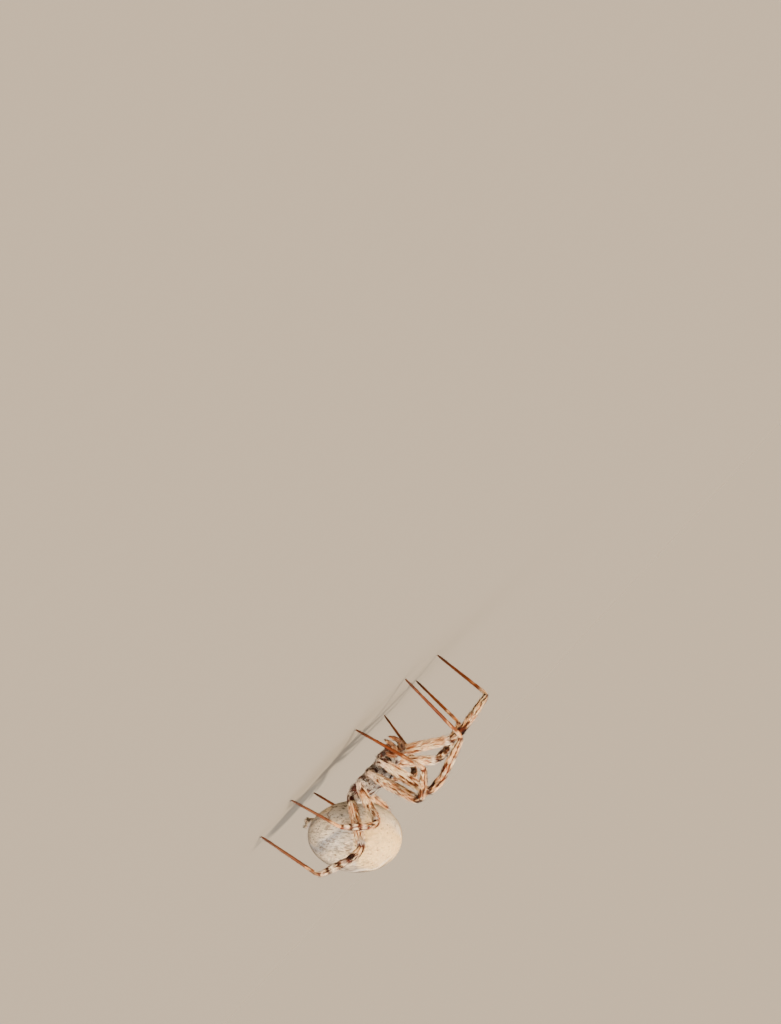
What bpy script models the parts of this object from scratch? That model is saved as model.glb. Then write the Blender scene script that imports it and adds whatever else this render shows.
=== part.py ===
"""Coneweb spider, an adult female, standing on eight feet with her body held level.

Lengths are in millimetres in the constants and in metres in the scene. A place on the body is
given as (forward, left, up), counted from the pedicel, the narrow waist between the two halves.
The spider faces -Y with her left side to +X, and her feet stand on Z = 0.
"""

from math import cos, pi, radians, sin

import bmesh
import bpy
from mathutils import Matrix, Vector
from mathutils.bvhtree import BVHTree

MM = 0.001
GAP = 0.3
PEDICEL_HEIGHT = 3.0

# Carapace and sternum: stations along the body from the pedicel to the face
CARAPACE_STATIONS = (0.15, 0.45, 0.95, 1.55, 2.15, 2.75, 3.25, 3.7, 3.95, 4.05)
CARAPACE_HALF_WIDTHS = (0.28, 0.72, 1.10, 1.27, 1.24, 1.06, 0.84, 0.72, 0.62, 0.42)
CARAPACE_TOPS = (0.42, 0.72, 0.95, 1.06, 1.10, 1.16, 1.20, 1.15, 0.98, 0.78)
CARAPACE_EDGE = 0.48
STERNUM_HALF_WIDTHS = (0.20, 0.34, 0.50, 0.60, 0.62, 0.54, 0.42, 0.34, 0.28, 0.22)
STERNUM_BOTTOMS = (-0.20, -0.38, -0.50, -0.56, -0.58, -0.56, -0.50, -0.38, -0.10, 0.20)
CARAPACE_RIM = 0.18
CARAPACE_ARCH = 0.8
STERNUM_INSET = 0.1
STERNUM_ARCH = 0.45
CARAPACE_POINTS = 12
STERNUM_POINTS = 10
PEDICEL_START = (0.5, 0.0, 0.12)
PEDICEL_RADII = (0.32, 0.0, 0.26)
PEDICEL_SIDES = 12

# Abdomen: an egg hung with its broad end up and its spinnerets low
ABDOMEN_CENTRE = (-2.45, 0.0, 2.1)
ABDOMEN_HALF_LENGTH = 3.7
ABDOMEN_HALF_WIDTH = 2.85
ABDOMEN_HALF_HEIGHT = 2.72
ABDOMEN_TAPER = 0.05
ABDOMEN_PITCH = 47
ABDOMEN_SIDES = 26
ABDOMEN_RINGS = 18

# Spinnerets: a mound, and on each side three cones whose roots are out and up from its middle
SPINNERET_TURN = 13
MOUND_RADII = (0.5, 0.0, 0.42)
MOUND_HEIGHT = 0.12
MOUND_SIDES = 16
SPINNERET_LENGTHS = (0.27, 0.19, 0.24)
SPINNERET_RADII = (0.19, 0.13, 0.16)
SPINNERET_ROOTS = ((0.2, 0.2), (0.13, 0.0), (0.2, -0.2))
SPINNERET_TAPER = 0.55
SPINNERET_SPLAY = 0.3
SPINNERET_SIDES = 10

# Chelicerae: middle of the top and how far the foot moves from it, then the fangs on their ends
CHELICERA_TOP = (4.42, 0.19, 0.62)
CHELICERA_DRIFT = (0.12, 0.09, -1.25)
CHELICERA_HALF_WIDTH = 0.25
CHELICERA_HALF_DEPTH = 0.36
CHELICERA_SWELL = 0.18
CHELICERA_NARROWING = 0.3
CHELICERA_STEPS = 6
CHELICERA_SIDES = 14
FANG_PLACES = ((4.5, 0.3, -0.55), (4.62, 0.3, -0.81), (4.42, 0.14, -0.97))
FANG_RADII = (0.12, 0.0, 0.03)
FANG_SIDES = 8

# Six eyes in three pairs: place of each pair on the carapace as forward, left
EYE_RADIUS = 0.11
EYE_GAP = 0.02
EYE_SEGMENTS = 10
EYE_RINGS = 7
EYE_PAIRS = {
    "front": ((3.72, 0.12), (3.72, -0.12)),
    "left": ((3.42, 0.5), (3.2, 0.54)),
    "right": ((3.42, -0.5), (3.2, -0.54)),
}

# Coxa of each leg: forward, outward, direction from straight ahead in degrees
COXAE = {1: (3.25, 0.46, 55), 2: (2.5, 0.6, 78), 3: (1.8, 0.62, 105), 4: (1.12, 0.5, 138)}
COXA_LENGTH = 1.25
COXA_UP = -0.16
COXA_RADIUS = 0.31
COXA_STEP = 0.02

# Stance of each leg: knee, tibia end and foot as forward, outward, up
STANCE = {
    ("left", 1): ((5.2, 2.5, 4.0), (9.8, 1.6, 3.0), (10.3, 2.3, -3.0)),
    ("left", 2): ((4.6, 3.6, 3.8), (7.9, 6.8, 2.6), (6.1, 5.9, -3.0)),
    ("left", 3): ((1.15, 3.7, 2.8), (-0.2, 6.0, 1.0), (-0.9, 7.0, -3.0)),
    ("left", 4): ((-0.9, 4.35, 3.2), (-5.0, 4.1, 2.2), (-5.7, 4.7, -3.0)),
    ("right", 1): ((7.8, 2.3, 2.5), (11.2, 5.9, 2.1), (10.0, 8.4, -3.0)),
    ("right", 2): ((5.1, 4.2, 2.7), (7.1, 8.5, 2.0), (6.6, 10.3, -3.0)),
    ("right", 3): ((2.6, 4.2, 2.3), (3.0, 7.3, 0.6), (3.0, 9.2, -3.0)),
    ("right", 4): ((-0.9, 4.5, 2.6), (-4.1, 7.1, 1.7), (-5.8, 8.6, -3.0)),
}
PATELLA_LENGTHS = {1: 1.3, 2: 1.25, 3: 1.0, 4: 1.2}
TARSUS_LENGTHS = {1: 1.5, 2: 1.4, 3: 1.1, 4: 1.2}
LEG_SIZES = {1: 1.0, 2: 0.97, 3: 0.88, 4: 0.95}
LEG_SIDES = 10
BEND = 0.45

# Thickness of a first leg: radius where each length begins, swells and ends
TROCHANTER_RADII = (0.31, 0.02, 0.3)
FEMUR_RADII = (0.3, 0.09, 0.31)
PATELLA_RADII = (0.31, 0.03, 0.3)
TIBIA_RADII = (0.29, 0.04, 0.26)
METATARSUS_RADII = (0.18, 0.0, 0.17)
TARSUS_RADII = (0.17, 0.0, 0.14)
FOOT_RADIUS = 0.14
HEEL_HEIGHT = 0.35
SHIN_SHARE = 0.8

# Palps: root, hip, knee, tibia end and tip as forward, outward, up
PALP_PLACES = (
    (3.95, 0.72, -0.58),
    (4.5, 0.98, -0.4),
    (4.95, 1.03, 0.35),
    (5.35, 0.85, -0.35),
    (5.1, 0.55, -1.15),
)
PALP_RADII = ((0.25, 0.01, 0.25), (0.25, 0.02, 0.25), (0.25, 0.02, 0.25), (0.25, 0.0, 0.2))
PALP_TIP_RADIUS = 0.12
PALP_BEND = 0.3

CREAM_HAIR = (0.74, 0.66, 0.55, 1)
GREY_HAIR = (0.5, 0.46, 0.42, 1)
STRAW_LEG = (0.6, 0.44, 0.29, 1)
CHESTNUT = (0.23, 0.09, 0.045, 1)
DARK_HORN = (0.03, 0.018, 0.014, 1)


def clear_scene():
    for obj in list(bpy.data.objects):
        bpy.data.objects.remove(obj, do_unlink=True)


def material(name, colour, roughness):
    """A Principled surface of one colour."""
    made = bpy.data.materials.new(name)
    made.use_nodes = True
    shader = made.node_tree.nodes["Principled BSDF"]
    shader.inputs["Base Color"].default_value = colour
    shader.inputs["Roughness"].default_value = roughness
    shader.inputs["Metallic"].default_value = 0.0
    return made


def at(forward, left, up):
    """A place on the body, in the part's own frame."""
    return Vector((left, -forward, up + PEDICEL_HEIGHT)) * MM


def place(mesh_data, name, finish, parent):
    """An object for a mesh, shaded smooth and carried by the spider's empty."""
    mesh_data.materials.append(finish)
    mesh_data.shade_smooth()
    obj = bpy.data.objects.new(name, mesh_data)
    bpy.context.scene.collection.objects.link(obj)
    obj.parent = parent
    return obj


def loft(name, rings, close_start=None, close_end=None):
    """A closed skin over rings of equal count. An end closes on a point where one is given."""
    work = bmesh.new()
    loops = [[work.verts.new(point) for point in ring] for ring in rings]
    sides = len(loops[0])
    for near, far in zip(loops, loops[1:]):
        for i in range(sides):
            j = (i + 1) % sides
            work.faces.new((near[i], near[j], far[j], far[i]))
    for loop, tip in ((loops[0], close_start), (loops[-1], close_end)):
        if tip is None:
            work.faces.new(loop)
            continue
        apex = work.verts.new(tip)
        for i in range(sides):
            work.faces.new((loop[i], loop[(i + 1) % sides], apex))
    bmesh.ops.triangulate(work, faces=list(work.faces))
    bmesh.ops.recalc_face_normals(work, faces=list(work.faces))
    made = bpy.data.meshes.new(name)
    work.to_mesh(made)
    work.free()
    return made


def joined(name, pieces):
    """One closed mesh from overlapping closed meshes."""
    group = bpy.data.collections.new(name + " pieces")
    for i, piece in enumerate(pieces):
        group.objects.link(bpy.data.objects.new(f"{name} piece {i}", piece))
    base = group.objects[0]
    group.objects.unlink(base)
    bpy.context.scene.collection.objects.link(base)
    union = base.modifiers.new("Union", "BOOLEAN")
    union.operation = "UNION"
    union.operand_type = "COLLECTION"
    union.collection = group
    graph = bpy.context.evaluated_depsgraph_get()
    made = bpy.data.meshes.new_from_object(base.evaluated_get(graph))
    made.name = name
    for obj in [base, *group.objects]:
        bpy.data.objects.remove(obj, do_unlink=True)
    bpy.data.collections.remove(group)
    return made


def rounded(points, bend):
    """Samples of a path with rounded corners, as (place, length of path it is in, share of it)."""
    samples = []
    last = len(points) - 2
    for i in range(last + 1):
        start, end = points[i], points[i + 1]
        along = (end - start).normalized()
        length = (end - start).length
        trim = min(bend * MM, 0.42 * length)
        first = trim if i else 0.0
        final = length - (trim if i < last else 0.0)
        for share in (0.0, 0.33, 0.67):
            here = first + (final - first) * share
            samples.append((start + along * here, i, here / length))
        samples.append((start + along * final, i, final / length))
        if i < last:
            following = (points[i + 2] - end).normalized()
            next_trim = min(bend * MM, 0.42 * (points[i + 2] - end).length)
            before = end - along * trim
            after = end + following * next_trim
            for share in (0.33, 0.67):
                here = before.lerp(end, share).lerp(end.lerp(after, share), share)
                samples.append((here, i, 1.0) if share < 0.5 else (here, i + 1, 0.0))
    return samples


def tube_rings(samples, radii, sides, scale=1.0):
    """Rings round a sampled path, turned as little as possible from one to the next."""
    places = [sample[0] for sample in samples]
    heading = (places[1] - places[0]).normalized()
    side = heading.orthogonal().normalized()
    rings = []
    for k, (centre, segment, share) in enumerate(samples):
        after = places[min(k + 1, len(places) - 1)]
        before = places[max(k - 1, 0)]
        aim = (after - before).normalized()
        side = (side - aim * side.dot(aim)).normalized()
        other = aim.cross(side)
        start, swell, end = radii[segment]
        radius = (start + (end - start) * share + swell * sin(pi * share)) * scale * MM
        ring = [side * cos(2 * pi * i / sides) + other * sin(2 * pi * i / sides) for i in range(sides)]
        rings.append([centre + offset * radius for offset in ring])
    return rings


def cephalothorax_mesh():
    """Domed carapace over a narrower sternum, drawn out behind into the pedicel."""
    rings = []
    carapace = zip(CARAPACE_STATIONS, CARAPACE_HALF_WIDTHS, CARAPACE_TOPS)
    sternum = zip(STERNUM_HALF_WIDTHS, STERNUM_BOTTOMS)
    for (forward, half, top), (sternum_half, bottom) in zip(carapace, sternum):
        edge = min(CARAPACE_EDGE, top - CARAPACE_RIM)
        lip = edge - STERNUM_INSET
        ring = []
        for i in range(CARAPACE_POINTS + 1):
            angle = pi * i / CARAPACE_POINTS
            ring.append(at(forward, half * cos(angle), edge + (top - edge) * sin(angle) ** CARAPACE_ARCH))
        for i in range(1, STERNUM_POINTS):
            angle = pi * i / STERNUM_POINTS
            depth = (lip - bottom) * sin(angle) ** STERNUM_ARCH
            ring.append(at(forward, -sternum_half * cos(angle), lip - depth))
        rings.append(ring)
    body = loft("carapace", rings)
    start = at(*PEDICEL_START)
    end = at(*ABDOMEN_CENTRE)
    reach = (end - start).normalized()
    tip = start + reach * ray_length(start, reach, abdomen_tree()) - reach * GAP * MM
    samples = [(start, 0, 0.0), (start.lerp(tip, 0.5), 0, 0.5), (tip, 0, 1.0)]
    stalk = loft("pedicel", tube_rings(samples, [PEDICEL_RADII], PEDICEL_SIDES))
    return joined("cephalothorax", [body, stalk])


def abdomen_rings():
    pitch = radians(ABDOMEN_PITCH)
    axis = Vector((0, -cos(pitch), sin(pitch)))
    across = Vector((1, 0, 0))
    up = Vector((0, sin(pitch), cos(pitch)))
    centre = at(*ABDOMEN_CENTRE)
    rings = []
    for k in range(1, ABDOMEN_RINGS):
        angle = pi * k / ABDOMEN_RINGS
        along = -cos(angle)
        girth = sin(angle) * (1 + ABDOMEN_TAPER * along)
        ring = []
        for i in range(ABDOMEN_SIDES):
            turn = 2 * pi * i / ABDOMEN_SIDES
            point = axis * ABDOMEN_HALF_LENGTH * along
            point += across * ABDOMEN_HALF_WIDTH * girth * cos(turn)
            point += up * ABDOMEN_HALF_HEIGHT * girth * sin(turn)
            ring.append(centre + point * MM)
        rings.append(ring)
    ends = [centre + axis * ABDOMEN_HALF_LENGTH * sign * MM for sign in (-1, 1)]
    return rings, ends


def abdomen_mesh():
    rings, (low, high) = abdomen_rings()
    return loft("abdomen", rings, low, high)


def mesh_tree(mesh_data):
    points = [vertex.co for vertex in mesh_data.vertices]
    return BVHTree.FromPolygons(points, [polygon.vertices for polygon in mesh_data.polygons])


def abdomen_tree():
    return mesh_tree(abdomen_mesh())


def ray_length(start, heading, tree):
    """How far a line goes from its start before it meets a surface."""
    hit = tree.ray_cast(start, heading)
    return hit[3]


def spinnerets_mesh():
    """Three pairs of short cones on one low mound at the abdomen's lower end."""
    pitch = radians(ABDOMEN_PITCH + SPINNERET_TURN)
    aim = Vector((0, cos(pitch), -sin(pitch)))
    across = Vector((1, 0, 0))
    up = aim.cross(across)
    centre = at(*ABDOMEN_CENTRE)
    distance = 2 * ABDOMEN_HALF_LENGTH * MM
    surface = distance - ray_length(centre + aim * distance, -aim, abdomen_tree())
    root = centre + aim * (surface + GAP * MM)
    mound_end = root + aim * MOUND_HEIGHT * MM
    mound = loft("mound", tube_rings([(root, 0, 0.0), (mound_end, 0, 1.0)], [MOUND_RADII], MOUND_SIDES))
    pieces = [mound]
    for length, radius, (out, rise) in zip(SPINNERET_LENGTHS, SPINNERET_RADII, SPINNERET_ROOTS):
        for sign in (-1, 1):
            foot = root + (across * sign * out + up * rise + aim * MOUND_HEIGHT / 2) * MM
            tip = foot + (aim * length + up * rise * SPINNERET_SPLAY) * MM
            samples = [(foot, 0, 0.0), (foot.lerp(tip, 0.6), 0, 0.6), (tip, 0, 1.0)]
            radii = [(radius, 0.0, radius * SPINNERET_TAPER)]
            pieces.append(loft("cone", tube_rings(samples, radii, SPINNERET_SIDES)))
    return joined("spinnerets", pieces)


def chelicerae_mesh():
    """Two jaws joined at their bases below the face, each with a short fang turned inwards."""
    pieces = []
    for sign in (-1, 1):
        rings = []
        for step in range(CHELICERA_STEPS + 1):
            share = step / CHELICERA_STEPS
            swell = 1 + CHELICERA_SWELL * sin(pi * min(1, share * 1.3)) - CHELICERA_NARROWING * share
            forward, out, up = (top + drift * share for top, drift in zip(CHELICERA_TOP, CHELICERA_DRIFT))
            middle = at(forward, sign * out, up)
            ring = []
            for i in range(CHELICERA_SIDES):
                turn = 2 * pi * i / CHELICERA_SIDES
                side = Vector((CHELICERA_HALF_WIDTH * swell * cos(turn), 0, 0))
                depth = Vector((0, CHELICERA_HALF_DEPTH * swell * sin(turn), 0))
                ring.append(middle + (side + depth) * MM)
            rings.append(ring)
        pieces.append(loft("jaw", rings))
        root, knee, tip = (at(f, sign * out, up) for f, out, up in FANG_PLACES)
        samples = [(root, 0, 0.0), (knee, 0, 0.5), (tip, 0, 1.0)]
        pieces.append(loft("fang", tube_rings(samples, [FANG_RADII], FANG_SIDES)))
    return joined("chelicerae", pieces)


def eye_mesh(forward, left, tree):
    """A low domed lens that sits on the carapace."""
    above = at(forward, left, 3)
    spot, normal = tree.ray_cast(above, Vector((0, 0, -1)))[:2]
    normal = normal.normalized()
    turn = normal.to_track_quat("Z", "Y").to_matrix().to_4x4()
    work = bmesh.new()
    radius = EYE_RADIUS * MM
    bmesh.ops.create_uvsphere(work, u_segments=EYE_SEGMENTS, v_segments=EYE_RINGS, radius=radius)
    centre = spot + normal * (EYE_RADIUS + EYE_GAP) * MM
    bmesh.ops.transform(work, matrix=Matrix.Translation(centre) @ turn, verts=work.verts)
    made = bpy.data.meshes.new("eye")
    work.to_mesh(made)
    work.free()
    return made


def clear_of(tree, point, gap):
    """Whether a point is outside a surface by at least a gap."""
    spot, normal, _, distance = tree.find_nearest(point)
    return distance >= gap and (point - spot).dot(normal) > 0


def coxa_root(side, number, tree):
    """The first place along a coxa that clears the sternum by the gap, and its outer end."""
    forward, outward, direction = COXAE[number]
    sign = 1 if side == "left" else -1
    start = at(forward, sign * outward, COXA_UP)
    angle = radians(direction)
    aim = Vector((sign * sin(angle), -cos(angle), 0))
    end = start + aim * COXA_LENGTH * MM
    across = aim.cross(Vector((0, 0, 1)))
    travel = 0.0
    while travel < COXA_LENGTH * 0.6:
        here = start + aim * travel * MM
        rim = []
        for i in range(LEG_SIDES):
            turn = 2 * pi * i / LEG_SIDES
            rim.append(here + (across * cos(turn) + Vector((0, 0, sin(turn)))) * COXA_RADIUS * MM)
        if all(clear_of(tree, point, GAP * MM) for point in rim):
            break
        travel += COXA_STEP
    return start + aim * travel * MM, end


def leg_mesh(side, number, tree):
    """One leg from coxa to foot as a jointed tube, with a small flat under the foot."""
    sign = 1 if side == "left" else -1
    root, hip = coxa_root(side, number, tree)
    knee, ankle, foot = (at(f, sign * out, up) for f, out, up in STANCE[(side, number)])
    size = LEG_SIZES[number]
    shin = (ankle - knee).normalized()
    thigh = (knee - hip).normalized()
    bent = (shin * SHIN_SHARE + thigh * (1 - SHIN_SHARE)).normalized()
    patella_end = knee + bent * PATELLA_LENGTHS[number] * MM
    heel = foot + Vector((0, 0, HEEL_HEIGHT)) * MM
    tarsus_start = heel + (ankle - heel).normalized() * TARSUS_LENGTHS[number] * MM
    points = [root, hip, knee, patella_end, ankle, tarsus_start, heel]
    radii = [TROCHANTER_RADII, FEMUR_RADII, PATELLA_RADII, TIBIA_RADII, METATARSUS_RADII, TARSUS_RADII]
    rings = tube_rings(rounded(points, BEND), radii, LEG_SIDES, size)
    rings.append(foot_ring(rings[-1], foot))
    return loft(f"leg {side} {number}", rings)


def foot_ring(last, foot):
    """The flat under a foot: the last ring laid level, and no wider than a claw tuft."""
    middle = sum(last, Vector()) / len(last)
    flat = []
    for point in last:
        offset = point - middle
        offset.z = 0
        flat.append(foot + offset.normalized() * FOOT_RADIUS * MM)
    return flat


def palp_mesh(side):
    sign = 1 if side == "left" else -1
    points = [at(f, sign * out, up) for f, out, up in PALP_PLACES]
    rings = tube_rings(rounded(points, PALP_BEND), PALP_RADII, LEG_SIDES)
    aim = (points[-1] - points[-2]).normalized()
    tip = points[-1] + aim * PALP_TIP_RADIUS * MM
    return loft(f"palp {side}", rings, None, tip)


def centre_on_origin(empty, objects):
    """Moves the spider so that her box stands centred over the origin."""
    bpy.context.view_layer.update()
    corners = [obj.matrix_world @ v.co for obj in objects for v in obj.data.vertices]
    for axis in (0, 1):
        values = [corner[axis] for corner in corners]
        empty.location[axis] = -(min(values) + max(values)) / 2


def main():
    clear_scene()
    spider = bpy.data.objects.new("spider", None)
    bpy.context.scene.collection.objects.link(spider)
    grey = material("grey hair over chestnut cuticle", GREY_HAIR, 0.85)
    cream = material("cream abdomen hair", CREAM_HAIR, 0.9)
    straw = material("straw leg hair", STRAW_LEG, 0.8)
    chestnut = material("chestnut cuticle", CHESTNUT, 0.45)
    horn = material("dark lens", DARK_HORN, 0.12)

    made = [place(cephalothorax_mesh(), "cephalothorax", grey, spider)]
    carapace = mesh_tree(made[0].data)
    made.append(place(abdomen_mesh(), "abdomen", cream, spider))
    made.append(place(spinnerets_mesh(), "spinnerets", chestnut, spider))
    made.append(place(chelicerae_mesh(), "chelicerae", chestnut, spider))
    for pair, places in EYE_PAIRS.items():
        for i, (forward, left) in enumerate(places, 1):
            made.append(place(eye_mesh(forward, left, carapace), f"eye_{pair}_{i}", horn, spider))
    for side in ("left", "right"):
        made.append(place(palp_mesh(side), f"palp_{side}", straw, spider))
        for number in COXAE:
            made.append(place(leg_mesh(side, number, carapace), f"leg_{side}_{number}", straw, spider))
    centre_on_origin(spider, made)


main()
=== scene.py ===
"""Looks of a life-size coneweb spider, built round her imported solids.

The code counts in millimetres, and each mesh is turned to metres when it is made. A place on
the body is (forward, left, up) from the pedicel, the narrow waist between the two halves. The
spider faces -Y with her left side to +X and stands on Z = 0.
"""

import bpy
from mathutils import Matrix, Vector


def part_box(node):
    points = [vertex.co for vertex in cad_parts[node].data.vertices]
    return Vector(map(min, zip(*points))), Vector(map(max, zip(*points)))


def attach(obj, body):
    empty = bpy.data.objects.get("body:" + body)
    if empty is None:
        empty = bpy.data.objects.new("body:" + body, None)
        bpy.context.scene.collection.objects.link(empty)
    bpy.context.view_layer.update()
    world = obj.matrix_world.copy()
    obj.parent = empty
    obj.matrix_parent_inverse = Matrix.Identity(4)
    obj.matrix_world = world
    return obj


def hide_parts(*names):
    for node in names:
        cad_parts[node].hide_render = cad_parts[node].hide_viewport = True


bl_info = {
    "name": "Coneweb spider",
    "version": (1, 0, 0),
    "blender": (4, 5, 0),
    "location": "3D View > Sidebar > Spider",
    "description": "Skin, coat, eyes, claws and stage of a life-size coneweb spider",
    "category": "Add Mesh",
}

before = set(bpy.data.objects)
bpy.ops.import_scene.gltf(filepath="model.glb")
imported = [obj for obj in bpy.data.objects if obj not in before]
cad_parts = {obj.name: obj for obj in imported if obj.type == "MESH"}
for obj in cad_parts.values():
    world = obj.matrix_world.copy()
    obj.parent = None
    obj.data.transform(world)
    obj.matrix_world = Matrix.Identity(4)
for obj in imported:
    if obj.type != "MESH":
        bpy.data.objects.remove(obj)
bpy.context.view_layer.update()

from math import cos, pi, radians, sin

import bmesh
import bpy
import numpy as np
from mathutils import Matrix, Quaternion, Vector
from mathutils.kdtree import KDTree

MM = 0.001

# The spider's place in the frame: midline and pedicel, read from her front body's box
CARAPACE_FRONT = 4.05
PEDICEL_HEIGHT = 3.0
FRONT_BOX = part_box("cephalothorax")
MIDLINE = (FRONT_BOX[0][0] + FRONT_BOX[1][0]) / 2 / MM
PEDICEL_Y = FRONT_BOX[0][1] / MM + CARAPACE_FRONT

# Abdomen: an egg hung with its broad end up and its spinnerets low
ABDOMEN_CENTRE = (-2.45, 0.0, 2.1)
ABDOMEN_HALF_SIZES = (3.7, 2.85, 2.72)
ABDOMEN_PITCH = 47

# Front body: stations along it, and its half width, top, sternum half width and bottom there
STATIONS = (0.15, 0.45, 0.95, 1.55, 2.15, 2.75, 3.25, 3.7, 3.95, 4.05)
HALF_WIDTHS = (0.28, 0.72, 1.10, 1.27, 1.24, 1.06, 0.84, 0.72, 0.62, 0.42)
TOPS = (0.42, 0.72, 0.95, 1.06, 1.10, 1.16, 1.20, 1.15, 0.98, 0.78)
STERNUM_WIDTHS = (0.20, 0.40, 0.62, 0.74, 0.76, 0.66, 0.50, 0.38, 0.30, 0.24)
BOTTOMS = (-0.20, -0.38, -0.50, -0.56, -0.58, -0.56, -0.50, -0.38, -0.10, 0.20)
CARAPACE_EDGE = 0.42

# Coxa of each leg: forward, outward, direction from straight ahead in degrees
COXAE = {1: (3.25, 0.46, 55), 2: (2.5, 0.6, 78), 3: (1.8, 0.62, 105), 4: (1.12, 0.5, 138)}
COXA_LENGTH = 1.25
COXA_UP = -0.16

# Stance of each leg: knee, tibia end and foot as forward, outward, up
STANCE = {
    ("left", 1): ((5.2, 2.5, 4.0), (9.8, 1.6, 3.0), (10.3, 2.3, -3.0)),
    ("left", 2): ((4.6, 3.6, 3.8), (7.9, 6.8, 2.6), (6.1, 5.9, -3.0)),
    ("left", 3): ((1.15, 3.7, 2.8), (-0.2, 6.0, 1.0), (-0.9, 7.0, -3.0)),
    ("left", 4): ((-0.9, 4.35, 3.2), (-5.0, 4.1, 2.2), (-5.7, 4.7, -3.0)),
    ("right", 1): ((7.8, 2.3, 2.5), (11.2, 5.9, 2.1), (10.0, 8.4, -3.0)),
    ("right", 2): ((5.1, 4.2, 2.7), (7.1, 8.5, 2.0), (6.6, 10.3, -3.0)),
    ("right", 3): ((2.6, 4.2, 2.3), (3.0, 7.3, 0.6), (3.0, 9.2, -3.0)),
    ("right", 4): ((-0.9, 4.5, 2.6), (-4.1, 7.1, 1.7), (-5.8, 8.6, -3.0)),
}
PATELLA_LENGTHS = {1: 1.3, 2: 1.25, 3: 1.0, 4: 1.2}
TARSUS_LENGTHS = {1: 1.5, 2: 1.4, 3: 1.1, 4: 1.2}
LEG_SIZES = {1: 1.0, 2: 0.97, 3: 0.88, 4: 0.95}
SEGMENTS = ("coxa", "femur", "patella", "tibia", "metatarsus", "tarsus")

# Radius along each length of a leg, from its start to its end
LEG_PROFILES = {
    "coxa": (0.36, 0.38, 0.37, 0.33, 0.27),
    "femur": (0.24, 0.33, 0.37, 0.36, 0.34, 0.32, 0.27),
    "patella": (0.25, 0.29, 0.3, 0.25),
    "tibia": (0.24, 0.28, 0.28, 0.27, 0.25, 0.23, 0.18),
    "metatarsus": (0.15, 0.145, 0.135, 0.13, 0.125, 0.12, 0.1),
    "tarsus": (0.1, 0.115, 0.11, 0.1, 0.085, 0.065),
}

# Palp joints as forward, outward and up, and the radius along each length between them
PALP_PLACES = (
    (3.75, 0.55, -0.52),
    (4.5, 0.98, -0.4),
    (4.95, 1.03, 0.35),
    (5.35, 0.85, -0.35),
    (5.1, 0.55, -1.15),
)
PALP_PROFILES = {
    "hip": (0.24, 0.22, 0.17),
    "femur": (0.16, 0.19, 0.19, 0.16),
    "tibia": (0.16, 0.2, 0.2, 0.17),
    "tarsus": (0.16, 0.18, 0.16, 0.11, 0.05),
}

# Fineness of the closed shapes: rings along them and sides round them, the millimetres between
# samples along a limb, and the steps in a bend
ABDOMEN_RINGS, ABDOMEN_SIDES = 59, 90
FRONT_RINGS, FRONT_SIDES = 46, 64
LIMB_SIDES = 20
BALL_SIDES = 28
STUB_RINGS, STUB_SIDES = 6, 16
TAIL_SIDES = 28
JAW_RINGS, JAW_SIDES = 14, 20
FANG_SIDES = 14
CLAW_SIDES = 8
EYE_SEGMENTS, EYE_RINGS = 24, 16
LIMB_STEP = 0.09
BEND_STEPS = 8

# How deep the abdomen's skin lies inside its solid, so that the down has room, the least height of
# any skin over the floor, and the height there of the end of a foot's middle line
SKIN_INSET = 0.05
FLOOR_CLEARANCE = 0.012
FOOT_HEIGHT = 0.07

# Place, length and radii of the stub through the waist, and how far the stub under the spinnerets
# reaches inwards and outwards, with its radii
WAIST, WAIST_LENGTH, WAIST_RADII = (0.5, 0, 0.12), 1.4, (0.3, 0.24)
TAIL_REACH, TAIL_RADII = (0.3, 0.22), (0.56, 0.42)

# Small forms under the front body: half sizes of a coxa's swelling; place, half sizes and turn of
# the plate beside the mouth; place and half sizes of the lip
COXA_SWELLING = (0.62, 0.4, 0.42)
MOUTH_PLATE = ((3.72, 0.3, -0.5), (0.3, 0.2, 0.22), -0.4)
LIP = ((3.5, 0, -0.52), (0.22, 0.2, 0.14))

# Jaw: where it starts as forward, outward and up, the way from there to its end, and half its
# width and half its depth
JAW_START = (4.40, 0.19, 0.78)
JAW_WAY = (0.12, 0.09, -1.38)
JAW_HALF_SIZES = (0.24, 0.34)

# Fang joints as forward, outward and up; claw joints as ahead, aside and up from the toe; and the
# radius along each length between them
FANG_PLACES = ((4.5, 0.3, -0.5), (4.62, 0.3, -0.78), (4.42, 0.14, -0.96))
FANG_PROFILES = {"base": (0.1, 0.09, 0.075), "tip": (0.07, 0.05, 0.015)}
CLAW_PLACES = ((0, 0.02, 0.07), (0.07, 0.05, 0.05), (0.1, 0.06, -0.05))
CLAW_PROFILES = {"base": (0.022, 0.02), "tip": (0.018, 0.005)}

# How far a lens sits below the middle of its eye's solid
EYE_SINK = 0.05

# Lines of markings round a thigh and a shin, and dark rings along the shin of the last two pairs
THIGH_LINES = 9
SHIN_LINES = 6
SHIN_RINGS = 3

# How far along a leg its hip is, and how wide a patch of skin hair covers there
HIP_RUN = 1.3
HIP_REACH = 0.6

# The most that a bend takes of the length on each side of it, in millimetres and as a share
BEND = 0.4
PALP_BEND = 0.25
FANG_BEND = 0.1
CLAW_BEND = 0.03
BEND_SHARE = 0.42

# Distance in the patterns from one limb to the next, so that no two are marked alike
LIMB_SHIFT = 7.0

# Spinnerets: lengths, radii, places beside and above the middle of the tail, and how many degrees
# they turn down from the abdomen's axis
SPINNERET_LENGTHS = (0.27, 0.19, 0.24)
SPINNERET_RADII = (0.19, 0.13, 0.16)
SPINNERET_SPREAD = ((0.2, 0.2), (0.13, 0.0), (0.2, -0.2))
SPINNERET_TURN = 13

# Photo frame: the pedicel's pixel, the way the body points there, and pixels to a millimetre
PHOTO_SIZE = (781, 1024)
PEDICEL_PIXEL = (355, 795)
BODY_ANGLE = 47.4
PIXELS_PER_MM = 13.0

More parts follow.
